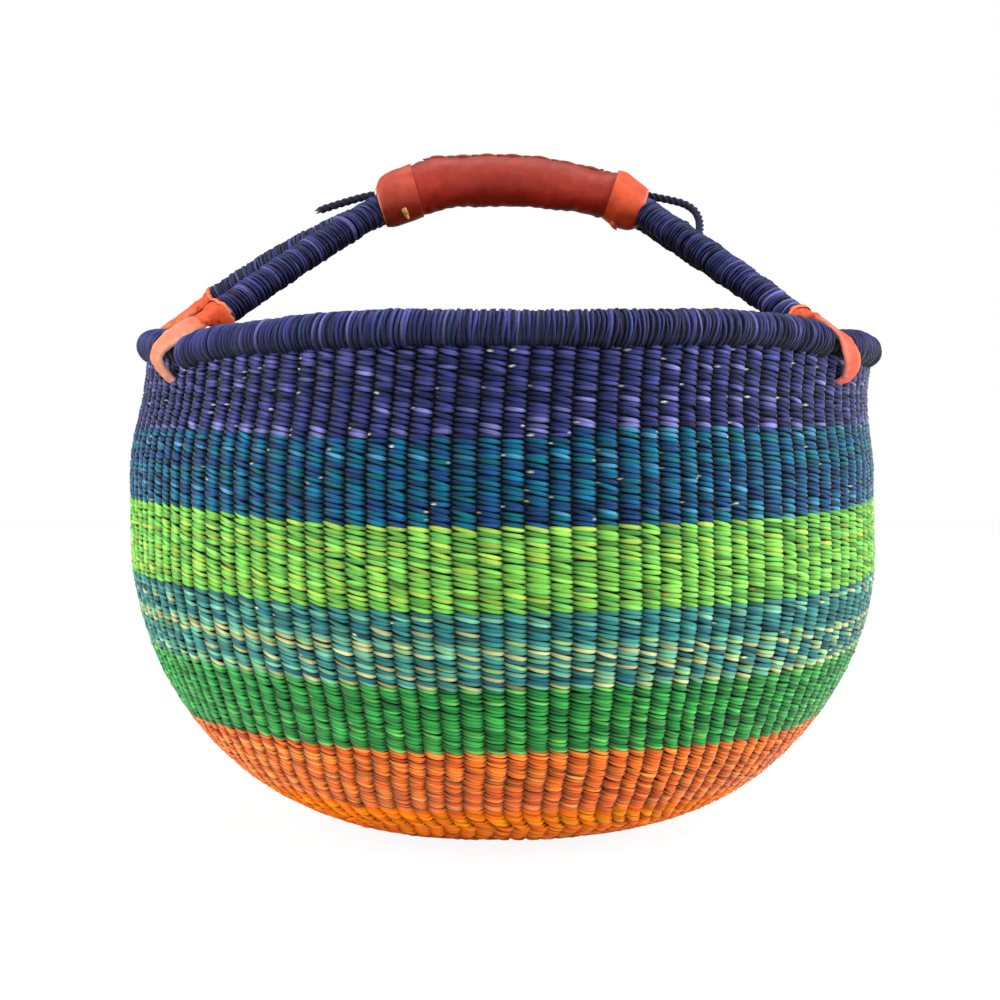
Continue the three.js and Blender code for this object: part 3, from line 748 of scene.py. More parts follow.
def rope_material():
    """The frame's material of this name, or else straw coloured by its vertices, in their dyes and painted
    shade, with fine fibres.
    """
    if "rope_straw" in bpy.data.materials:
        return bpy.data.materials["rope_straw"]
    material, tree, shader = new_material("rope_straw")
    fibres = noise(tree, node(tree, "ShaderNodeTexCoord").outputs["Object"], 900.0, 3.0)
    dyed_and_painted(tree, shader, ranged(tree, fibres, 0.6, 1.5))
    shader.inputs["Roughness"].default_value = 0.5
    bumped(tree, shader, fibres, 0.4, 0.0004)
    return material


# Camera
def make_camera():
    data = bpy.data.cameras.new("camera")
    data.sensor_width = SENSOR
    data.lens = FOCAL_PIXELS / PIXELS * SENSOR
    data.shift_y = (HORIZON_ROW - PIXELS / 2) / PIXELS
    data.clip_end = 20
    camera = bpy.data.objects.new("camera", data)
    bpy.context.scene.collection.objects.link(camera)
    across = (PIXELS / 2 - MIDDLE_COLUMN) / FOCAL_PIXELS * CAMERA_DISTANCE
    camera.location = (across, -CAMERA_DISTANCE, CAMERA_HEIGHT)
    camera.rotation_euler = (math.pi / 2, 0, 0)
    bpy.context.scene.camera = camera


# Routes
def spline(points, places):
    """A Catmull-Rom curve through rows of numbers, at places counted in rows."""
    points = np.asarray(points, float)
    padded = np.vstack([2 * points[0] - points[1], points, 2 * points[-1] - points[-2]])
    places = np.clip(places, 0, len(points) - 1)
    i = np.minimum(places.astype(int), len(points) - 2)
    t = (places - i)[:, None]
    a, b, c, d = padded[i], padded[i + 1], padded[i + 2], padded[i + 3]
    return 0.5 * (2 * b + (c - a) * t + (2 * a - 5 * b + 4 * c - d) * t**2 + (3 * b - a - 3 * c + d) * t**3)


def smooth_route(points, count):
    """A smooth route through points, resampled evenly."""
    fine = spline(points, np.linspace(0, len(points) - 1, 24 * (len(points) - 1) + 1))
    lengths = travelled(fine)
    even = np.linspace(0, lengths[-1], count)
    return np.stack([np.interp(even, lengths, fine[:, k]) for k in range(3)], -1)


def route_frames(route):
    """Direction, side and top vectors along a route, with top kept as upright as it can be."""
    ahead = unit(np.gradient(route, axis=0))
    side = unit(np.cross([0, 0, 1.0], ahead))
    return ahead, side, np.cross(ahead, side)


# Ropes: three strands twisted round each other, one turn on every lay
ROPE_STRANDS = 3
ROPE_LAY = 0.0115
STRAND_RADIUS = ROPE_DIAMETER * 0.27
ROPE_SHADE = (38, 37, 66)
TIP_LENGTH = 0.004


def twisted_rope(name, points, node_name, tapered):
    samples, sides = 90, 10
    route = smooth_route(points, samples)
    _, side, top = route_frames(route)
    along = np.linspace(0, travelled(route)[-1], samples)
    ring = STRAND_RADIUS * circles(full_turn(sides), side, top)
    end = np.clip((along[-1] - along) / TIP_LENGTH, 0.25, 1) if tapered else np.ones(samples)
    # Each end of a strand is closed by a fan round its middle
    count = samples * sides
    j = np.arange(0, sides, 2)
    fan = np.stack([j, j + 1, (j + 2) % sides], -1)
    hub = np.full((len(j), 1), count)
    end_caps = [np.hstack([hub, fan[:, ::-1]]), np.hstack([hub + 1, fan + count - sides])]
    strand_faces = np.vstack([ring_quads(samples, sides), *end_caps])
    vertices, colours, faces = [], [], []
    for strand in range(ROPE_STRANDS):
        turn = 2 * np.pi * (along / ROPE_LAY + strand / ROPE_STRANDS)[:, None]
        off = ROPE_DIAMETER / 2 - STRAND_RADIUS
        middle = route + off * (np.cos(turn) * side + np.sin(turn) * top)
        tone = linear(ROPE_SHADE) * (0.8 + 0.4 * rng.random((samples, 1)))
        vertices += [(middle[:, None] + ring * end[:, None, None]).reshape(-1, 3), middle[[0, -1]]]
        colours += [np.repeat(tone, sides, axis=0), tone[[0, -1]]]
        faces.append(strand_faces + strand * (count + 2))
    rope = add_piece(
        name, np.vstack(vertices), np.vstack(faces), np.vstack(colours), None, ROPE_STRAW,
        "handle", node_name,
    )


make_camera()
ROPE_STRAW = rope_material()
twisted_rope("rope_end_twist", LEFT_ROPE, "rope_end_left", True)
twisted_rope("rope_loop_twist", RIGHT_ROPE, "rope_loop_right", False)


# Wrapped rolls: turns of straw laid side by side round a bundle. By place across a turn: its
# half-round back and its brightness, a painted highlight along the middle and painted shade at the edges
TURN_ACROSS = np.radians([-84, -30, 30, 84])
TURN_PAINTED_LIGHT = np.array([0.05, 0.50, 1.95, 0.10])
TURN_THICKNESS = 0.68
ARM_TONE = 0.88
RIM_TONE = 0.98
ARM_PITCH = 0.0018
RIM_PITCH = 0.0023
WRAP_DYES = [
    ((38, 42, 100), 6), ((54, 56, 118), 4), ((25, 29, 76), 5), ((88, 86, 148), 1), ((36, 60, 108), 1),
]


def wrapped_turns(centres, ahead, side, top, radius, pitch, segments, slant, painted_underside_brightness):
    """Turns of straw round a route of centres. Every turn is a closed loop with a half-round back.

    centres, ahead, side, top and radius have one row per turn, and the last argument is how bright the
    roll's underside is painted: the roll is painted darker below and lighter on top, as painted shade and
    light."""
    turns = len(centres)
    each = (turns, 1, 1)
    segment_angles = full_turn(segments)
    loop = segment_angles[:, None]
    jitter = 0.10 * rng.standard_normal(each)
    tilt = slant + 0.15 * rng.standard_normal(each)
    phase = rng.uniform(0, 2 * np.pi, each)
    width = (0.51 + 0.07 * rng.standard_normal(each)) * pitch
    wander = tilt * np.sin(loop + 0.4 * np.sin(phase)) + jitter
    wander = wander + 0.15 * np.sin(2 * loop + phase) + 0.09 * np.sin(3 * loop - phase)
    shift = pitch * wander + width * np.sin(TURN_ACROSS)
    proud = 0.00022 * rng.standard_normal(each) + 0.0002 * np.sin(3 * loop + phase) - 0.0002
    reach = radius[:, None, None] - pitch * TURN_THICKNESS * (1 - np.cos(TURN_ACROSS)) + proud
    points = centres[:, None, None] + circles(segment_angles, side, top)[:, :, None] * reach[..., None]
    points = points + ahead[:, None, None] * shift[..., None]
    colours, odds = dye_table(WRAP_DYES)
    picks = rng.choice(len(WRAP_DYES), size=turns, p=odds)
    tones = colours[picks] * np.clip(1 + 0.22 * rng.standard_normal((turns, 1)), 0.35, 1.9)
    # Painted light and shade: each turn is lighter on the roll's top and darker on its underside, with a
    # painted highlight along its middle
    lit = painted_underside_brightness + (1 - painted_underside_brightness) * np.clip((np.sin(loop) + 0.72) / 1.25, 0, 1)
    tones = tones[:, None, None] * (lit * TURN_PAINTED_LIGHT)[None, ..., None]
    widths = len(TURN_ACROSS)
    u = (np.arange(turns)[:, None, None] + 0.06 + 0.88 * np.linspace(0, 1, widths)) / turns
    v = LOOP_START + LOOP_SHARE * (np.arange(segments) / segments)[:, None] + 0 * u
    uv = np.stack(np.broadcast_arrays(u, v), -1).reshape(-1, 2)
    faces = grid_faces(turns, segments, widths, closed_rows=True)
    return points.reshape(-1, 3), faces[:, ::-1], tones.reshape(-1, 3), uv


# Rim
def rim_pinch(angle):
    """How much smaller the roll is near each strap, in metres, and that as a share of the most."""
    less, share = np.zeros_like(angle), np.zeros_like(angle)
    for name, (azimuth, _, _, _) in ATTACHMENTS.items():
        width, depth = PINCHES[name]
        away = np.abs((angle - math.radians(azimuth) + np.pi) % (2 * np.pi) - np.pi) * RIM_RADIUS
        squeeze = np.exp(-((away / width) ** 4))
        less = np.maximum(less, depth * squeeze)
        share = np.maximum(share, squeeze)
    return less, share


def rim_frames(count):
    """Azimuths round the rim, with centres, directions, sides and tops of its roll."""
    angle = full_turn(count)
    outward = np.stack([np.cos(angle), np.sin(angle), 0 * angle], -1)
    ahead = np.stack([-np.sin(angle), np.cos(angle), 0 * angle], -1)
    centres = outward * RIM_RADIUS
    centres[:, 2] = RIM_HEIGHT + rim_rise(angle)
    return angle, centres, ahead, outward, np.tile([0, 0, 1.0], (count, 1))


def make_rim():
    count = round(2 * np.pi * RIM_RADIUS / RIM_PITCH)
    angle, centres, ahead, outward, top = rim_frames(count)
    less, share = rim_pinch(angle)
    radius = RIM_ROLL - less + 0.0003 * np.sin(9 * angle) + 0.0002 * np.sin(23 * angle + 1)
    points, faces, colours, uvs = wrapped_turns(centres, ahead, outward, top, radius, RIM_PITCH, 28, 0.4, 0.2)
    # The roll is painted darker where the straps squeeze it, as painted shadow under the straps
    colours = RIM_TONE * colours * (1 - 0.85 * np.repeat(share, len(colours) // count))[:, None]
    material = straw_material("rim_straw", count, 24, *WRAP_LOOK)
    add_piece("rim_windings", points, faces, colours, uvs, material, "basket", "rim_wrap")
    rings, sides = 240, 12
    angle, centres, _, outward, top = rim_frames(rings)
    reach = RIM_ROLL - 0.0014 - rim_pinch(angle)[0]
    points = centres[:, None] + reach[:, None, None] * circles(full_turn(sides), outward, top)
    # The bundle is painted dark, as the shade seen between the turns over it
    colours = np.tile(linear((26, 24, 52)), (rings * sides, 1))
    faces = ring_quads(rings, sides, closed=True)[:, ::-1]
    add_piece("rim_bundle", points, faces, colours, None, ROPE_STRAW, "basket", "rim_core")


# Woven bands
def make_bowl():
    for name, after in zip(BANDS, [*BANDS, "top"][1:]):
        _, _, dyes, run = BANDS[name]
        weave(name + "_weave", band_rows(name, after), dyes, run, name + "_straw", name + "_band")
    weave("base_weave", base_rows(), GOLD, BANDS["golden_orange"][3], "golden_orange_straw", "base_disc")


# Corners of a stake's section: shares of half a rib's width, and metres from the wall's middle
STAKE_ACROSS = np.array([-0.4, 0.4, 0.4, -0.4])
STAKE_OUT = np.array([-0.0012, -0.0012, 0.0012, 0.0012])


def make_stakes():
    """Bundles of undyed straw inside the wall, one for each rib."""
    on_floor = np.linspace(0.008, BASE_LENGTH, 6)[:-1]
    levels = np.concatenate([on_floor, np.linspace(BASE_LENGTH, LENGTHS[-1], 30)])
    edges, _ = ribs_at(LENGTHS[-1])
    edges = np.append(edges, edges[0] + 2 * np.pi)
    middle, half = (edges[1:] + edges[:-1])[:, None, None] / 2, np.diff(edges)[:, None, None] / 2
    points = place_on_wall(middle + STAKE_ACROSS * half, levels[:, None], STAKE_OUT - WALL / 2)
    size = 4 * len(levels)
    faces = (ring_faces(len(levels), 4) + size * np.arange(len(middle))[:, None, None]).reshape(-1, 4)
    colours = np.tile(linear((150, 126, 82)), (size * len(middle), 1))
    add_piece("stakes", points, faces, colours, None, ROPE_STRAW, "basket", "stake_cage")


make_rim()
make_bowl()
make_stakes()


# Handle
def arch_height(x):
    return GRIP_HEIGHT - GRIP_DROP * (np.abs(x) / GRIP_HALF_LENGTH) ** ARCH_POWER


def radial_frame(azimuth):
    angle = math.radians(azimuth)
    outward = np.array([math.cos(angle), math.sin(angle), 0])
    sideways = np.array([-math.sin(angle), math.cos(angle), 0])

    def place(out, lift):
        return outward * (RIM_RADIUS + out) + np.array([0, 0, RIM_HEIGHT + lift])

    return sideways, place


def foot(name):
    """Where an arm meets its leather, and the frame of its azimuth."""
    azimuth, inset, lift, _ = ATTACHMENTS[name]
    sideways, place = radial_frame(azimuth)
    return place(-inset, lift), sideways, place


def grip_line(side_name, x):
    """The middle of the front or the rear hoop inside the grip."""
    sign = -1 if side_name == "front" else 1
    spread = ARM_SPREAD_IN_GRIP + (ARM_SPREAD - ARM_SPREAD_IN_GRIP) * (x / GRIP_HALF_LENGTH) ** 2
    return np.stack([x, GRIP_Y + sign * spread, arch_height(x)], -1)


def arm_route(name):
    """From inside the grip out to the leather at the arm's foot."""
    side_name, end = name.split("_")
    mouth = GRIP_HALF_LENGTH * (-1 if end == "left" else 1)
    inner = grip_line(side_name, mouth * np.array([0.75, 0.88, 1]))
    share = np.array(ARM_SHARES)[:, None]
    bow = 4 * ATTACHMENTS[name][3] * share * (1 - share) * np.array([0, 0, 1.0])
    return np.vstack([inner, inner[-1] * (1 - share) + foot(name)[0] * share + bow])


def make_arm(name):
    length = travelled(smooth_route(arm_route(name), 200))[-1]
    turns = round(length / ARM_PITCH)
    centres = smooth_route(arm_route(name), turns)
    ahead, side, top = route_frames(centres)
    share = np.arange(turns) / turns
    # The arm thins inside its socket
    thinning = 1 - smooth_step(np.clip((1 - share) * length / 0.0026, 0, 1))
    radius = ARM_RADIUS + 0.0002 * np.sin(40 * share) - 0.0019 * thinning
    points, faces, colours, uvs = wrapped_turns(centres, ahead, side, top, radius, ARM_PITCH, 22, 0.6, 0.3)
    # A layer of straw under the turns, painted dark as the shade in the gaps between them, closes those gaps
    sides = 15
    loop = np.linspace(0, 2 * np.pi, sides)
    under = centres[:, None] + (radius[:, None, None] - 0.0013) * circles(loop, side, top)
    faces = np.vstack([faces, grid_faces(1, turns, sides)[:, ::-1] + len(points)])
    points = np.vstack([points, under.reshape(-1, 3)])
    colours = np.vstack([colours * ARM_TONE, np.tile(linear((18, 17, 42)), (turns * sides, 1))])
    u, v = np.meshgrid((np.arange(turns) + 0.5) / turns, 0.001 + 0.017 * loop / (2 * np.pi), indexing="ij")
    uvs = np.vstack([uvs, np.stack([u, v], -1).reshape(-1, 2)])
    material = straw_material(name + "_arm_straw", turns, 20, *WRAP_LOOK)
    add_piece(
        name + "_arm_windings", points, faces, colours, uvs, material,
        "handle", name + "_arm_wrap",
    )


for arm_name in ATTACHMENTS:
    make_arm(arm_name)


# Leather
LEATHER = leather_material("goat_leather")


def unevenness(seed, waves, length):
    """A soft random function of two places, about -1 to 1, from waves of one rough length."""
    own = np.random.default_rng(seed)
    directions = own.standard_normal((waves, 2))
    sizes = 2 * np.pi / length / np.linalg.norm(directions, axis=1) * own.uniform(0.6, 1.5, waves)
    directions *= sizes[:, None]
    phases = own.uniform(0, 2 * np.pi, waves)

    def height(u, v):
        total = sum(np.sin(a * u + b * v + phase) for (a, b), phase in zip(directions, phases))
        return total / math.sqrt(waves)

    return height


def oval(sides, power):
    """Shares along the side and top of a rounded box, anticlockwise from its side."""
    loop = full_turn(sides)
    return loop, *(np.sign(part) * np.abs(part) ** (2 / power) for part in (np.cos(loop), np.sin(loop)))


# Grip's outline seen from the front in millimetres: x and z of its top edge, x and z of its
# bottom edge, and half its depth
LEFT_COLLAR_OUTLINE = [
    (-77.0, 362.5, -70.6, 341.1, 20.4),
    (-74.0, 369.5, -67.5, 341.3, 21.4),
    (-68.3, 373.5, -62.5, 342.7, 21.2),
    (-62.5, 374.9, -55.5, 344.9, 20.5),
    (-56.8, 376.5, -49.2, 347.0, 19.7),
]
SLEEVE_OUTLINE = [
    (-63.0, 373.4, -57.5, 346.2, 18.2),
    (-56.0, 376.5, -51.5, 347.4, 18.8),
    (-44.6, 380.4, -43.0, 350.3, 18.8),
    (-28.4, 381.0, -27.0, 352.6, 18.6),
    (-13.9, 381.7, -13.5, 353.3, 18.6),
    (0.6, 381.5, 0.6, 353.3, 18.6),
    (17.9, 380.3, 17.5, 352.2, 18.6),
    (35.3, 376.9, 34.0, 350.3, 18.6),
    (52.7, 373.2, 49.0, 347.6, 18.8),
    (63.0, 371.9, 54.0, 346.9, 18.8),
    (66.0, 370.0, 58.0, 345.5, 18.4),
]
RIGHT_COLLAR_OUTLINE = [
    (63.0, 373.2, 54.0, 346.2, 20.2),
    (67.4, 372.4, 57.0, 344.0, 20.6),
    (71.2, 370.3, 60.5, 341.9, 21.0),
    (77.0, 365.0, 68.0, 339.6, 21.4),
    (80.3, 361.4, 73.5, 340.3, 20.4),
]
GRIP_SQUARENESS = 2.4


def grip_rings(outline, count, sides, inward=0.0, bulge=None):
    """Rings round the grip, `inward` metres under its outline, with an unevenness of their own."""
    rows = spline(outline, np.linspace(0, len(outline) - 1, count)) / 1000
    top, bottom = (np.stack([rows[:, k], np.full(count, GRIP_Y), rows[:, k + 1]], -1) for k in (0, 2))
    centre, up = (top + bottom) / 2, (top - bottom) / 2
    height = np.linalg.norm(up, axis=1)
    loop, across, upward = oval(sides, GRIP_SQUARENESS)
    along = travelled(centre)
    grow = 0 if bulge is None else bulge(along[:, None], loop[None])
    # Rings turn anticlockwise about +x, so the side they start from is +y
    depth = rows[:, 4][:, None] - inward + grow
    rise = height[:, None] - inward + grow
    direction = up / height[:, None]
    points = centre[:, None] + (depth * across)[..., None] * np.array([0, 1.0, 0])
    points = points + (rise * upward)[..., None] * direction[:, None]
    return points, along, loop


def top_to_underside_painted_shade(loop, top_colour, middle_colour, bottom_colour):
    """Shades from a leather's top to its underside, which is painted darker as shade."""
    upward = np.sin(loop)
    steps = [-1, -0.55, 0.1, 0.75, 1]
    shades = linear([bottom_colour, bottom_colour, middle_colour, top_colour, top_colour])
    return np.stack([np.interp(upward, steps, shades[:, k]) for k in range(3)], -1)


def grip_shell(name, outline, count, thickness, shades, bulge, replaced, lip):
    """A leather tube with a real thickness. lip is 0 for none, -1 for a pale edge at its first end
    and 1 at its last."""
    sides = 96
    outer, along, loop = grip_rings(outline, count, sides, 0, bulge)
    inner, _, _ = grip_rings(outline, count, sides, thickness, bulge)
    spots = unevenness(5, 9, 0.012)(along[:, None], 0.02 * loop[None])
    colours = top_to_underside_painted_shade(loop, *shades)[None] * (1 + 0.07 * spots[..., None])
    edge = along if lip < 0 else along[-1] - along
    pale = np.exp(-((edge / 0.0011) ** 2))[:, None, None] * (0.75 if lip else 0)
    colours = colours * (1 - pale) + linear((226, 150, 118)) * pale
    # The tube's inner face is painted darker, as shade inside it
    add_piece(
        name, np.concatenate([outer, inner[::-1]]), ring_quads(2 * count, sides, closed=True),
        np.concatenate([colours, colours[::-1] * 0.6]), None, LEATHER, "handle", replaced,
    )


def sleeve_bulge(along, loop):
    """Puckers that run round the sleeve, and soft lumps of the bundle under it."""
    puckers = unevenness(21, 12, 0.0065)(along, 0.004 * loop)
    lumps = unevenness(22, 8, 0.024)(along, 0.014 * loop)
    under = np.clip(-np.sin(loop), 0, 1)
    return 0.00014 * puckers + 0.00035 * lumps + 0.00012 * under * puckers


def collar_bulge(along, loop):
    folds = unevenness(23, 9, 0.009)(0.3 * along, 0.012 * loop)
    return 0.0003 * folds + 0.0003 * unevenness(24, 6, 0.016)(along, 0.012 * loop)


# Each shell's shades run from top to middle to underside, the darker underside being painted shade
grip_shell(
    "grip_sleeve_leather", SLEEVE_OUTLINE, 240, 0.0015,
    ((154, 51, 38), (172, 52, 36), (158, 34, 21)), sleeve_bulge, "grip_sleeve", 0,
)
grip_shell(
    "grip_collar_left_leather", LEFT_COLLAR_OUTLINE, 60, 0.0017,
    ((184, 70, 50), (186, 68, 46), (152, 44, 26)), collar_bulge,
    "grip_collar_left", -1,
)
grip_shell(
    "grip_collar_right_leather", RIGHT_COLLAR_OUTLINE, 60, 0.0017,
    ((216, 84, 48), (228, 92, 50), (200, 70, 34)), collar_bulge,
    "grip_collar_right", 1,
)

# Seam along the sleeve's top, in millimetres: its two edges stand up in scallops between the
# lace's turns
LACE_TURNS = [-49, -34, -20, -5.5, 10, 26, 41, 54]
SEAM_ENDS = (-56, 60)
SEAM_Y = -20.5


def make_lacing():
    sides, count = 16, 200
    x = np.linspace(*SEAM_ENDS, count)
    top_x, top_z = np.array(SLEEVE_OUTLINE)[:, :2].T
    nearest = np.abs(x[:, None] - np.array(LACE_TURNS)).min(1)
    hump = np.sin(np.clip(nearest / 7.2, 0, 1) * np.pi / 2) ** 0.8
    ends = np.clip(np.minimum(x - SEAM_ENDS[0], SEAM_ENDS[1] - x) / 5, 0.05, 1)
    rise = (0.1 + 1.7 * hump) * ends
    _, across, upward = oval(sides, 2.6)
    half_height = (rise + 2.2) / 2
    middle = np.stack([x, np.full(count, SEAM_Y), np.interp(x, top_x, top_z) - 2.4 + half_height], -1)
    half_width = (1.2 + 0.7 * hump)[:, None]
    lean_over = (-0.5 * hump * np.clip(rise, 0, 2))[:, None]
    wide = half_width * across + lean_over * (upward > 0) * upward
    seam = (middle[:, None] + np.stack([0 * wide, wide, half_height[:, None] * upward], -1)) / 1000
    edge = (np.clip(upward, 0, 1) ** 6)[:, None]
    seam_colours = linear((160, 58, 44)) * (1 - edge) + linear((150, 104, 74)) * edge + 0 * seam
    # The lace winds over the seam, once at each dip between two scallops
    steps, lace_sides = 480, 10
    place = np.linspace(0, len(LACE_TURNS) - 1, steps)
    lace_x = np.interp(place, np.arange(len(LACE_TURNS)), LACE_TURNS)
    turn = 2 * np.pi * place + np.pi / 2
    lace_z = np.interp(lace_x, top_x, top_z) - 1.0
    route = np.stack([lace_x, SEAM_Y + 2.7 * np.cos(turn), lace_z + 1.8 * np.sin(turn)], -1) / 1000
    ahead = route_frames(route)[0]
    flat = unit(np.cross(ahead, np.stack([0 * turn, np.cos(turn), np.sin(turn)], -1)))
    thick = np.cross(ahead, flat)
    _, across, upward = oval(lace_sides, 2.4)
    rings = route[:, None] + 0.0012 * across[:, None] * flat[:, None]
    rings = rings + 0.0005 * upward[:, None] * thick[:, None]
    # The lace is painted lighter on top and darker underneath, as painted light and shade
    lace_colours = linear((136, 56, 42)) * (1 + 0.2 * upward)[:, None] + 0 * rings
    add_piece(
        "grip_lace",
        np.vstack([seam.reshape(-1, 3), rings.reshape(-1, 3)]),
        np.vstack([ring_faces(count, sides), ring_faces(steps, lace_sides) + count * sides]),
        np.vstack([seam_colours.reshape(-1, 3), lace_colours.reshape(-1, 3)]),
        None, LEATHER, "handle", "grip_lacing",
    )


make_lacing()


def band_rings(centres, side, half_width, half_thickness, turn, sides, power):
    """Rings of a flat band whose width runs along `side`, turned by `turn` degrees."""
    ahead = unit(np.gradient(centres, axis=0))
    side = np.broadcast_to(side, centres.shape)
    side = unit(side - (side * ahead).sum(1)[:, None] * ahead)
    top = np.cross(ahead, side)
    angle = np.radians(turn)[:, None]
    width_way = np.cos(angle) * side + np.sin(angle) * top
    top_way = np.cos(angle) * top - np.sin(angle) * side
    _, across, upward = oval(sides, power)
    rings = centres[:, None] + (half_width[:, None] * across)[..., None] * width_way[:, None]
    rings = rings + (half_thickness[:, None] * upward)[..., None] * top_way[:, None]
    return rings, across, upward, top_way


# Short ends of the collars' stitching, as routes in millimetres
TAB_ROUTES = {
    "collar_tab_left": [
        (-60.9, -34.6, 351.4), (-59.8, -34.4, 349.0), (-58.9, -32.6, 347.2), (-57.6, -31.2, 344.6),
    ],
    "collar_tab_right": [
        (58.4, -27.5, 343.6), (59.6, -27.0, 341.8), (60.6, -26.0, 340.2), (61.4, -24.8, 339.2),
    ],
}


def make_tabs():
    count, sides = 14, 12
    share = np.linspace(0, 1, count)
    half_width = (0.0021 - 0.0011 * share) * np.sin(np.pi * (0.10 + 0.82 * share)) ** 0.5
    half_thickness, turn = np.full(count, 0.0009), 12 * np.sin(5 * share)
    side = np.array([1.0, 0, 0.2])
    for name, route in TAB_ROUTES.items():
        centres = smooth_route(np.array(route) / 1000, count)
        rings, _, _, _ = band_rings(centres, side, half_width, half_thickness, turn, sides, 2.4)
        pale = linear((214, 166, 104) if name.endswith("left") else (206, 100, 56))
        colours = pale * (1 + 0.2 * np.sin(9 * share)[:, None, None]) + 0 * rings
        add_piece(name, rings, ring_faces(count, sides), colours, None, LEATHER, "handle")


make_tabs()

# Straps, by station: how far out from the rim's middle and above it, width and thickness in
# millimetres, and turn about its own run in degrees
STRAPS = {
    "front_left": [
        (-18.5, 13.2, 9.0, 4.0, -24), (-12.9, 10.2, 10.5, 4.0, -32), (-7.8, 7.7, 12.5, 3.8, -36),
        (-2.6, 4.6, 13.5, 3.5, -34), (3.0, 1.3, 13.5, 3.4, -28), (8.1, -2.5, 13.0, 3.4, -20),
        (11.8, -6.8, 12.5, 3.4, -12), (12.6, -10.8, 12.0, 3.4, -6), (10.9, -14.8, 11.5, 3.4, 0),
        (7.6, -19.1, 11.0, 3.2, 0), (2.5, -23.0, 10.5, 3.0, 0), (-4.0, -24.0, 10.0, 3.0, 0),
        (-11.5, -21.5, 9.0, 3.0, 0),
    ],
    "front_right": [
        (-17.0, 13.2, 9.0, 4.0, -8), (-8.7, 10.8, 8.5, 3.4, -20), (-3.5, 8.3, 8.0, 3.2, -22),
        (0.6, 5.5, 8.5, 3.0, -18), (5.8, 2.0, 10.5, 3.0, -8), (9.2, -1.4, 12.0, 3.0, 2),
        (10.8, -5.5, 13.0, 3.0, 8), (11.2, -11.2, 13.5, 3.0, 10), (9.4, -16.8, 12.5, 3.0, 6),
        (6.0, -21.0, 11.0, 3.0, 0), (1.0, -23.2, 10.0, 3.0, 0), (-5.0, -23.0, 10.0, 3.0, 0),
        (-11.5, -21.0, 9.0, 3.0, 0),
    ],
    "rear_left": [
        (-20.5, 27.5, 9.5, 4.4, -30), (-14.4, 23.8, 11.0, 4.2, -36), (-8.6, 20.0, 12.0, 3.8, -36),
        (-2.9, 16.2, 12.5, 3.6, -30), (2.4, 13.2, 12.5, 3.4, -20), (7.4, 10.2, 12.0, 3.2, -10),
        (11.4, 5.0, 12.0, 3.0, -4), (12.6, -2.0, 12.0, 3.0, 0), (12.0, -9.0, 12.0, 3.0, 0),
        (9.8, -15.5, 11.5, 3.0, 0), (6.2, -20.6, 11.0, 3.0, 0), (2.0, -23.6, 10.0, 3.0, 0),
        (-4.0, -24.0, 10.0, 3.0, 0), (-11.5, -21.5, 9.0, 3.0, 0),
    ],
    "rear_right": [
        (-22.0, 18.6, 9.0, 4.0, 0), (-14.0, 14.6, 11.0, 3.6, 0), (-7.0, 11.6, 12.0, 3.4, 0),
        (-1.0, 9.0, 12.0, 3.2, 0), (5.5, 5.6, 12.0, 3.2, 0), (10.0, 0.0, 12.0, 3.0, 0),
        (11.2, -7.0, 12.0, 3.0, 0), (9.8, -14.0, 11.5, 3.0, 0), (6.5, -20.0, 11.0, 3.0, 0),
        (2.0, -23.6, 10.0, 3.0, 0), (-4.0, -24.0, 10.0, 3.0, 0), (-11.5, -21.5, 9.0, 3.0, 0),
    ],
}
# Shades of each strap's edges and middle
STRAP_SHADES = {
    "front_left": ((230, 164, 138), (218, 130, 98)),
    "front_right": ((232, 136, 116), (222, 84, 54)),
    "rear_left": ((226, 126, 86), (220, 104, 64)),
    "rear_right": ((240, 170, 138), (228, 140, 104)),
}
SOCKET_SHADE = (234, 88, 42)
# How far a strap's lower end drifts along the rim
STRAP_DRIFTS = {"front_right": 0.009}


def make_strap(name):
    rows = STRAPS[name]
    count, sides = 110, 28
    fine = spline(rows, np.linspace(0, len(rows) - 1, count))
    _, sideways, place = foot(name)
    centres = np.stack([place(out / 1000, lift / 1000) for out, lift in fine[:, :2]])
    lower = smooth_step(np.clip((-fine[:, 1] - 3) / 20, 0, 1))
    centres = centres + (STRAP_DRIFTS.get(name, 0) * lower)[:, None] * sideways
    along = travelled(centres)
    half_width = fine[:, 2] / 2000 * (1 + 0.05 * np.sin(along * 240 + 1))
    rings, across, upward, top_way = band_rings(
        centres, sideways, half_width, fine[:, 3] / 2000, fine[:, 4], sides, 3.2
    )
    ripple = unevenness(sum(map(ord, name)), 9, 0.007)(along[:, None], 0.004 * across)
    cup = -0.0007 * across**2 + 0.00022 * ripple
    rings = rings + cup[..., None] * top_way[:, None]
    edge = (np.abs(across) ** 3)[:, None]
    edge_shade, middle_shade = (linear(shade) for shade in STRAP_SHADES[name])
    colours = (edge_shade * edge + middle_shade * (1 - edge)) * (1 + 0.06 * ripple[..., None])
    # The dye of the socket runs a little way down the strap
    share = np.clip(1 - (along - 0.004) / 0.012, 0, 1)[:, None, None] * 0.8
    colours = colours * (1 - share) + linear(SOCKET_SHADE) * share
    # The strap's underside is painted darker, as shade
    colours = np.where((upward < -0.3)[:, None], colours * 0.8, colours)
    piece = add_piece(
        name + "_strap_leather", rings, ring_faces(count, sides), colours, None, LEATHER,
        None, name + "_strap",
    )
    inner, outer = place(-0.015, 0.0125), place(-0.004, 0.0060)
    tuple(outer)
    tuple(inner)
    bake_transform(piece)


# Stations of a socket: first those at its mouth by their way into the arm in metres, and then
# those on towards its neck by their share of the way, each with half its width and half its
# thickness in millimetres
MOUTH_STATIONS = [(0.0014, 7.6, 7.6), (0.0018, 8.9, 8.9), (0.0010, 9.5, 9.4), (-0.0010, 9.4, 9.1)]
NECK_STATIONS = [(0.28, 8.7, 7.8), (0.52, 7.4, 5.8), (0.75, 6.0, 3.9), (1, 5.0, 2.6), (1.14, 4.7, 2.2)]


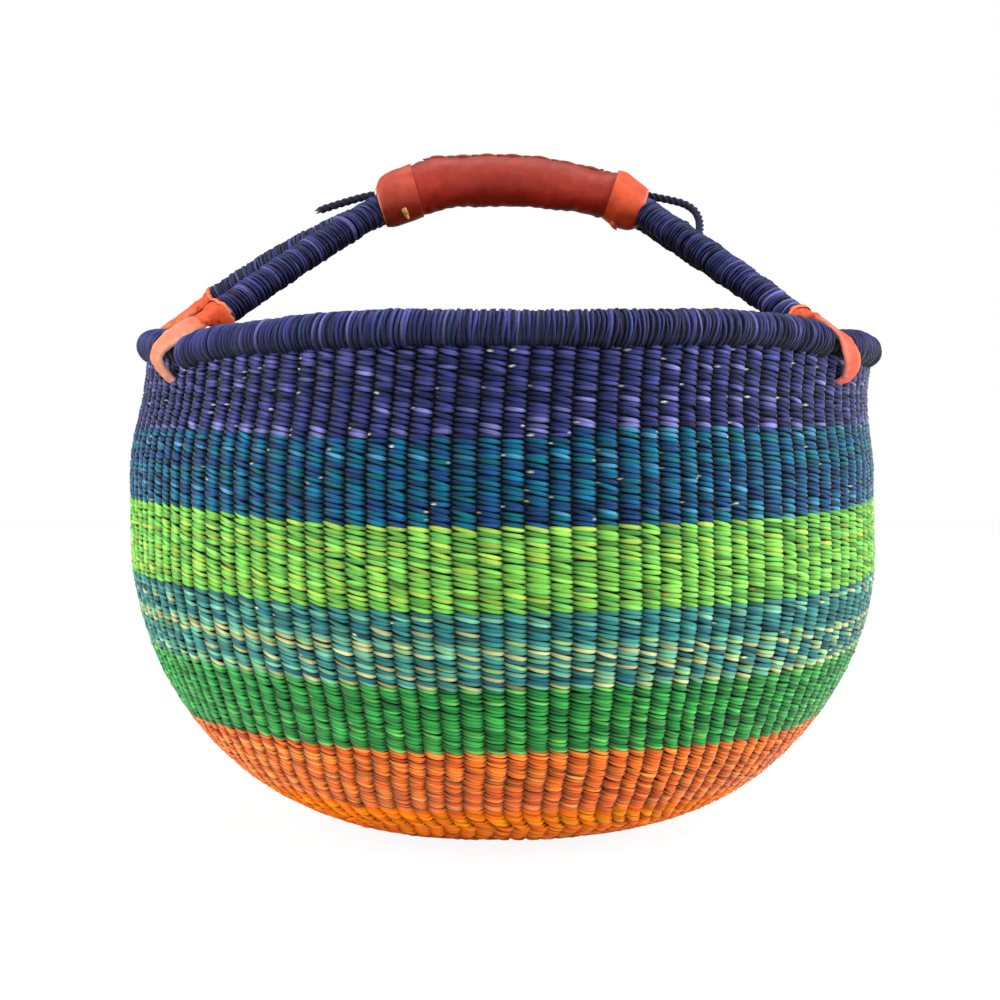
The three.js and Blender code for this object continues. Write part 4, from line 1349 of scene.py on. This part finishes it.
def make_socket(name):
    """Leather drawn over an arm's end, which narrows to the strap's neck in puckers."""
    boundary, sideways, place = foot(name)
    neck_out, neck_lift = STRAPS[name][1][:2]
    to_neck = place(neck_out / 1000, neck_lift / 1000) - boundary
    into_arm = unit(arm_route(name)[-2] - boundary)
    rows = [(*(boundary + way * into_arm), *halves) for way, *halves in MOUTH_STATIONS]
    rows += [(*(boundary + to_neck * way), *halves) for way, *halves in NECK_STATIONS]
    count, sides = 90, 44
    fine = spline(rows, np.linspace(0, len(rows) - 1, count))
    centres = fine[:, :3]
    along = travelled(centres)
    turn = np.interp(along, [0, along[-1]], [0, STRAPS[name][1][4]])
    rings, _, _, _ = band_rings(centres, sideways, fine[:, 3] / 1000, fine[:, 4] / 1000, turn, sides, 2.2)
    loop = full_turn(sides)
    share = along / along[-1]
    seed = sum(map(ord, name)) + 7
    folds = np.sin(7 * loop + 2.5 * unevenness(seed, 5, 0.02)(along[:, None], 0.01 * loop))
    folds = folds * (np.clip(share - 0.25, 0, 1) * (1.05 - share))[:, None] * 2.4
    creases = unevenness(seed + 1, 9, 0.0042)(along[:, None], 0.0022 * loop)
    push = 0.00030 * folds + 0.00026 * creases * np.clip(share * 3 - 0.3, 0, 1)[:, None]
    rings = rings + push[..., None] * unit(rings - centres[:, None])
    # The mouth's edge isn't cut straight
    near_mouth = np.exp(-(((along - 0.0012) / 0.0024) ** 2))[:, None]
    ragged = 0.0006 * unevenness(seed + 2, 6, 0.009)(0 * loop, 0.01 * loop) * near_mouth
    rings = rings + ragged[..., None] * into_arm
    pale = np.exp(-(((along - 0.0014) / 0.0008) ** 2))[:, None, None] * 0.5
    # Raised folds and creases are painted lighter and their hollows darker, as painted highlight and shade
    colours = linear(SOCKET_SHADE) * (1 + 0.10 * folds + 0.06 * creases)[..., None]
    colours = colours * (1 - pale) + linear((244, 160, 120)) * pale
    add_piece(
        name + "_socket_leather", rings, ring_faces(count, sides), colours, None, LEATHER,
        "handle", name + "_socket",
    )


for strap_name in STRAPS:
    make_strap(strap_name)
    make_socket(strap_name)


def make_binding():
    """The straw that binds both hoops together and fills out the grip, close under its sleeve."""
    turns, sides = 120, 36
    rings, _, _ = grip_rings(SLEEVE_OUTLINE, turns, sides, 0.0019)
    groove = 0.0003 * np.cos(np.arange(turns) * np.pi)[:, None, None]
    rings = rings + unit(rings - rings.mean(1)[:, None]) * groove
    shade = linear((206, 182, 130)) * (1 + 0.15 * rng.standard_normal((turns, 1, 1))) + 0 * rings
    add_piece(
        "grip_binding_straw", rings, ring_faces(turns, sides), shade, None, ROPE_STRAW,
        "handle", "grip_binding",
    )


make_binding()
BARE_STRAW = bare_straw_material()

CORE_RADIUS = 0.0058
CORE_END_GAP = 0.003


def make_core(side_name):
    """One hoop's straw core, from one foot over the grip to the other."""
    left, right = arm_route(side_name + "_left"), arm_route(side_name + "_right")
    inner = grip_line(side_name, GRIP_HALF_LENGTH * np.array([-0.5, 0, 0.5]))
    count, sides = 300, 12
    route = smooth_route(np.vstack([left[::-1], inner, right]), count)
    cut = int(count * CORE_END_GAP / travelled(route)[-1]) + 1
    route = route[cut:-cut]
    _, side, top = route_frames(route)
    loop = full_turn(sides)
    radius = CORE_RADIUS * (1 + 0.03 * np.cos(4 * loop))[:, None]
    points = route[:, None] + radius * circles(loop, side, top)
    add_piece(
        side_name + "_hoop_straw", points, ring_faces(len(route), sides), None, None, BARE_STRAW,
        "handle", side_name + "_hoop_core",
    )


make_core("front")
make_core("rear")


# Light, floor and background. Each lamp has a place, a side of its square and its watts, and all
# shine at one point inside the bowl.
LAMP_TARGET = (0, 0, 0.17)
LAMPS = {
    "key": ((0.5, -1.5, 1.5), 0.8, 10),
    "left": ((-1.5, -0.4, 0.7), 1.2, 20),
    "right": ((1.5, -0.4, 0.7), 1.2, 22),
    "top": ((0, 0.1, 1.9), 1.2, 18),
}
WHITE = (1, 1, 1, 1)
WORLD_LIGHT = 0.31


def make_light():
    for name, (place, size, watts) in LAMPS.items():
        data = bpy.data.lights.new(name, "AREA")
        data.shape = "RECTANGLE"
        data.size = data.size_y = size
        data.energy = watts
        lamp = bpy.data.objects.new(name, data)
        bpy.context.scene.collection.objects.link(lamp)
        lamp.location = place
        lamp.rotation_euler = (Vector(LAMP_TARGET) - Vector(place)).to_track_quat("-Z", "Y").to_euler()
    world = bpy.data.worlds.new("world")
    bpy.context.scene.world = world
    world.use_nodes = True
    tree = world.node_tree
    tree.nodes.clear()
    output = node(tree, "ShaderNodeOutputWorld")
    plain = node(tree, "ShaderNodeBackground", Color=WHITE, Strength=WORLD_LIGHT)
    white = node(tree, "ShaderNodeBackground", Color=WHITE, Strength=1.0)
    mix = node(tree, "ShaderNodeMixShader")
    joined(tree, (
        (node(tree, "ShaderNodeLightPath").outputs["Is Camera Ray"], mix.inputs["Fac"]),
        (plain.outputs["Background"], mix.inputs[1]),
        (white.outputs["Background"], mix.inputs[2]),
        (mix.outputs["Shader"], output.inputs["Surface"]),
    ))


FLOOR_HALF = 3.0
FLOOR_DROP = 0.0003


def make_floor():
    """A white floor, whose own light makes it read as white to the camera while the object's
    shadow stays on it."""
    material, tree, shader = new_material("floor")
    shader.inputs["Base Color"].default_value = (0.9, 0.9, 0.9, 1)
    shader.inputs["Roughness"].default_value = 0.9
    shader.inputs["Specular IOR Level"].default_value = 0.0
    output = next(one for one in tree.nodes if one.type == "OUTPUT_MATERIAL")
    glow = node(tree, "ShaderNodeEmission", Color=WHITE, Strength=1.15)
    seen = node(tree, "ShaderNodeMixShader", Fac=0.8)
    path = node(tree, "ShaderNodeLightPath")
    either = node(tree, "ShaderNodeMath", operation="MAXIMUM")
    any_of_three = node(tree, "ShaderNodeMath", operation="MAXIMUM")
    whole = node(tree, "ShaderNodeMixShader")
    joined(tree, (
        (shader.outputs["BSDF"], seen.inputs[1]),
        (glow.outputs["Emission"], seen.inputs[2]),
        (path.outputs["Is Camera Ray"], either.inputs[0]),
        (path.outputs["Is Glossy Ray"], either.inputs[1]),
        (either.outputs["Value"], any_of_three.inputs[0]),
        (path.outputs["Is Transmission Ray"], any_of_three.inputs[1]),
        (any_of_three.outputs["Value"], whole.inputs["Fac"]),
        (shader.outputs["BSDF"], whole.inputs[1]),
        (seen.outputs["Shader"], whole.inputs[2]),
        (whole.outputs["Shader"], output.inputs["Surface"]),
    ))
    corners = FLOOR_HALF * np.array([(-1, -1, 0), (1, -1, 0), (1, 1, 0), (-1, 1, 0)]) - [0, 0, FLOOR_DROP]
    floor = mesh_object("floor", corners, [[0, 1, 2, 3]], material=material, smooth=False)


make_light()
make_floor()
bpy.context.scene.view_settings.view_transform = "Standard"
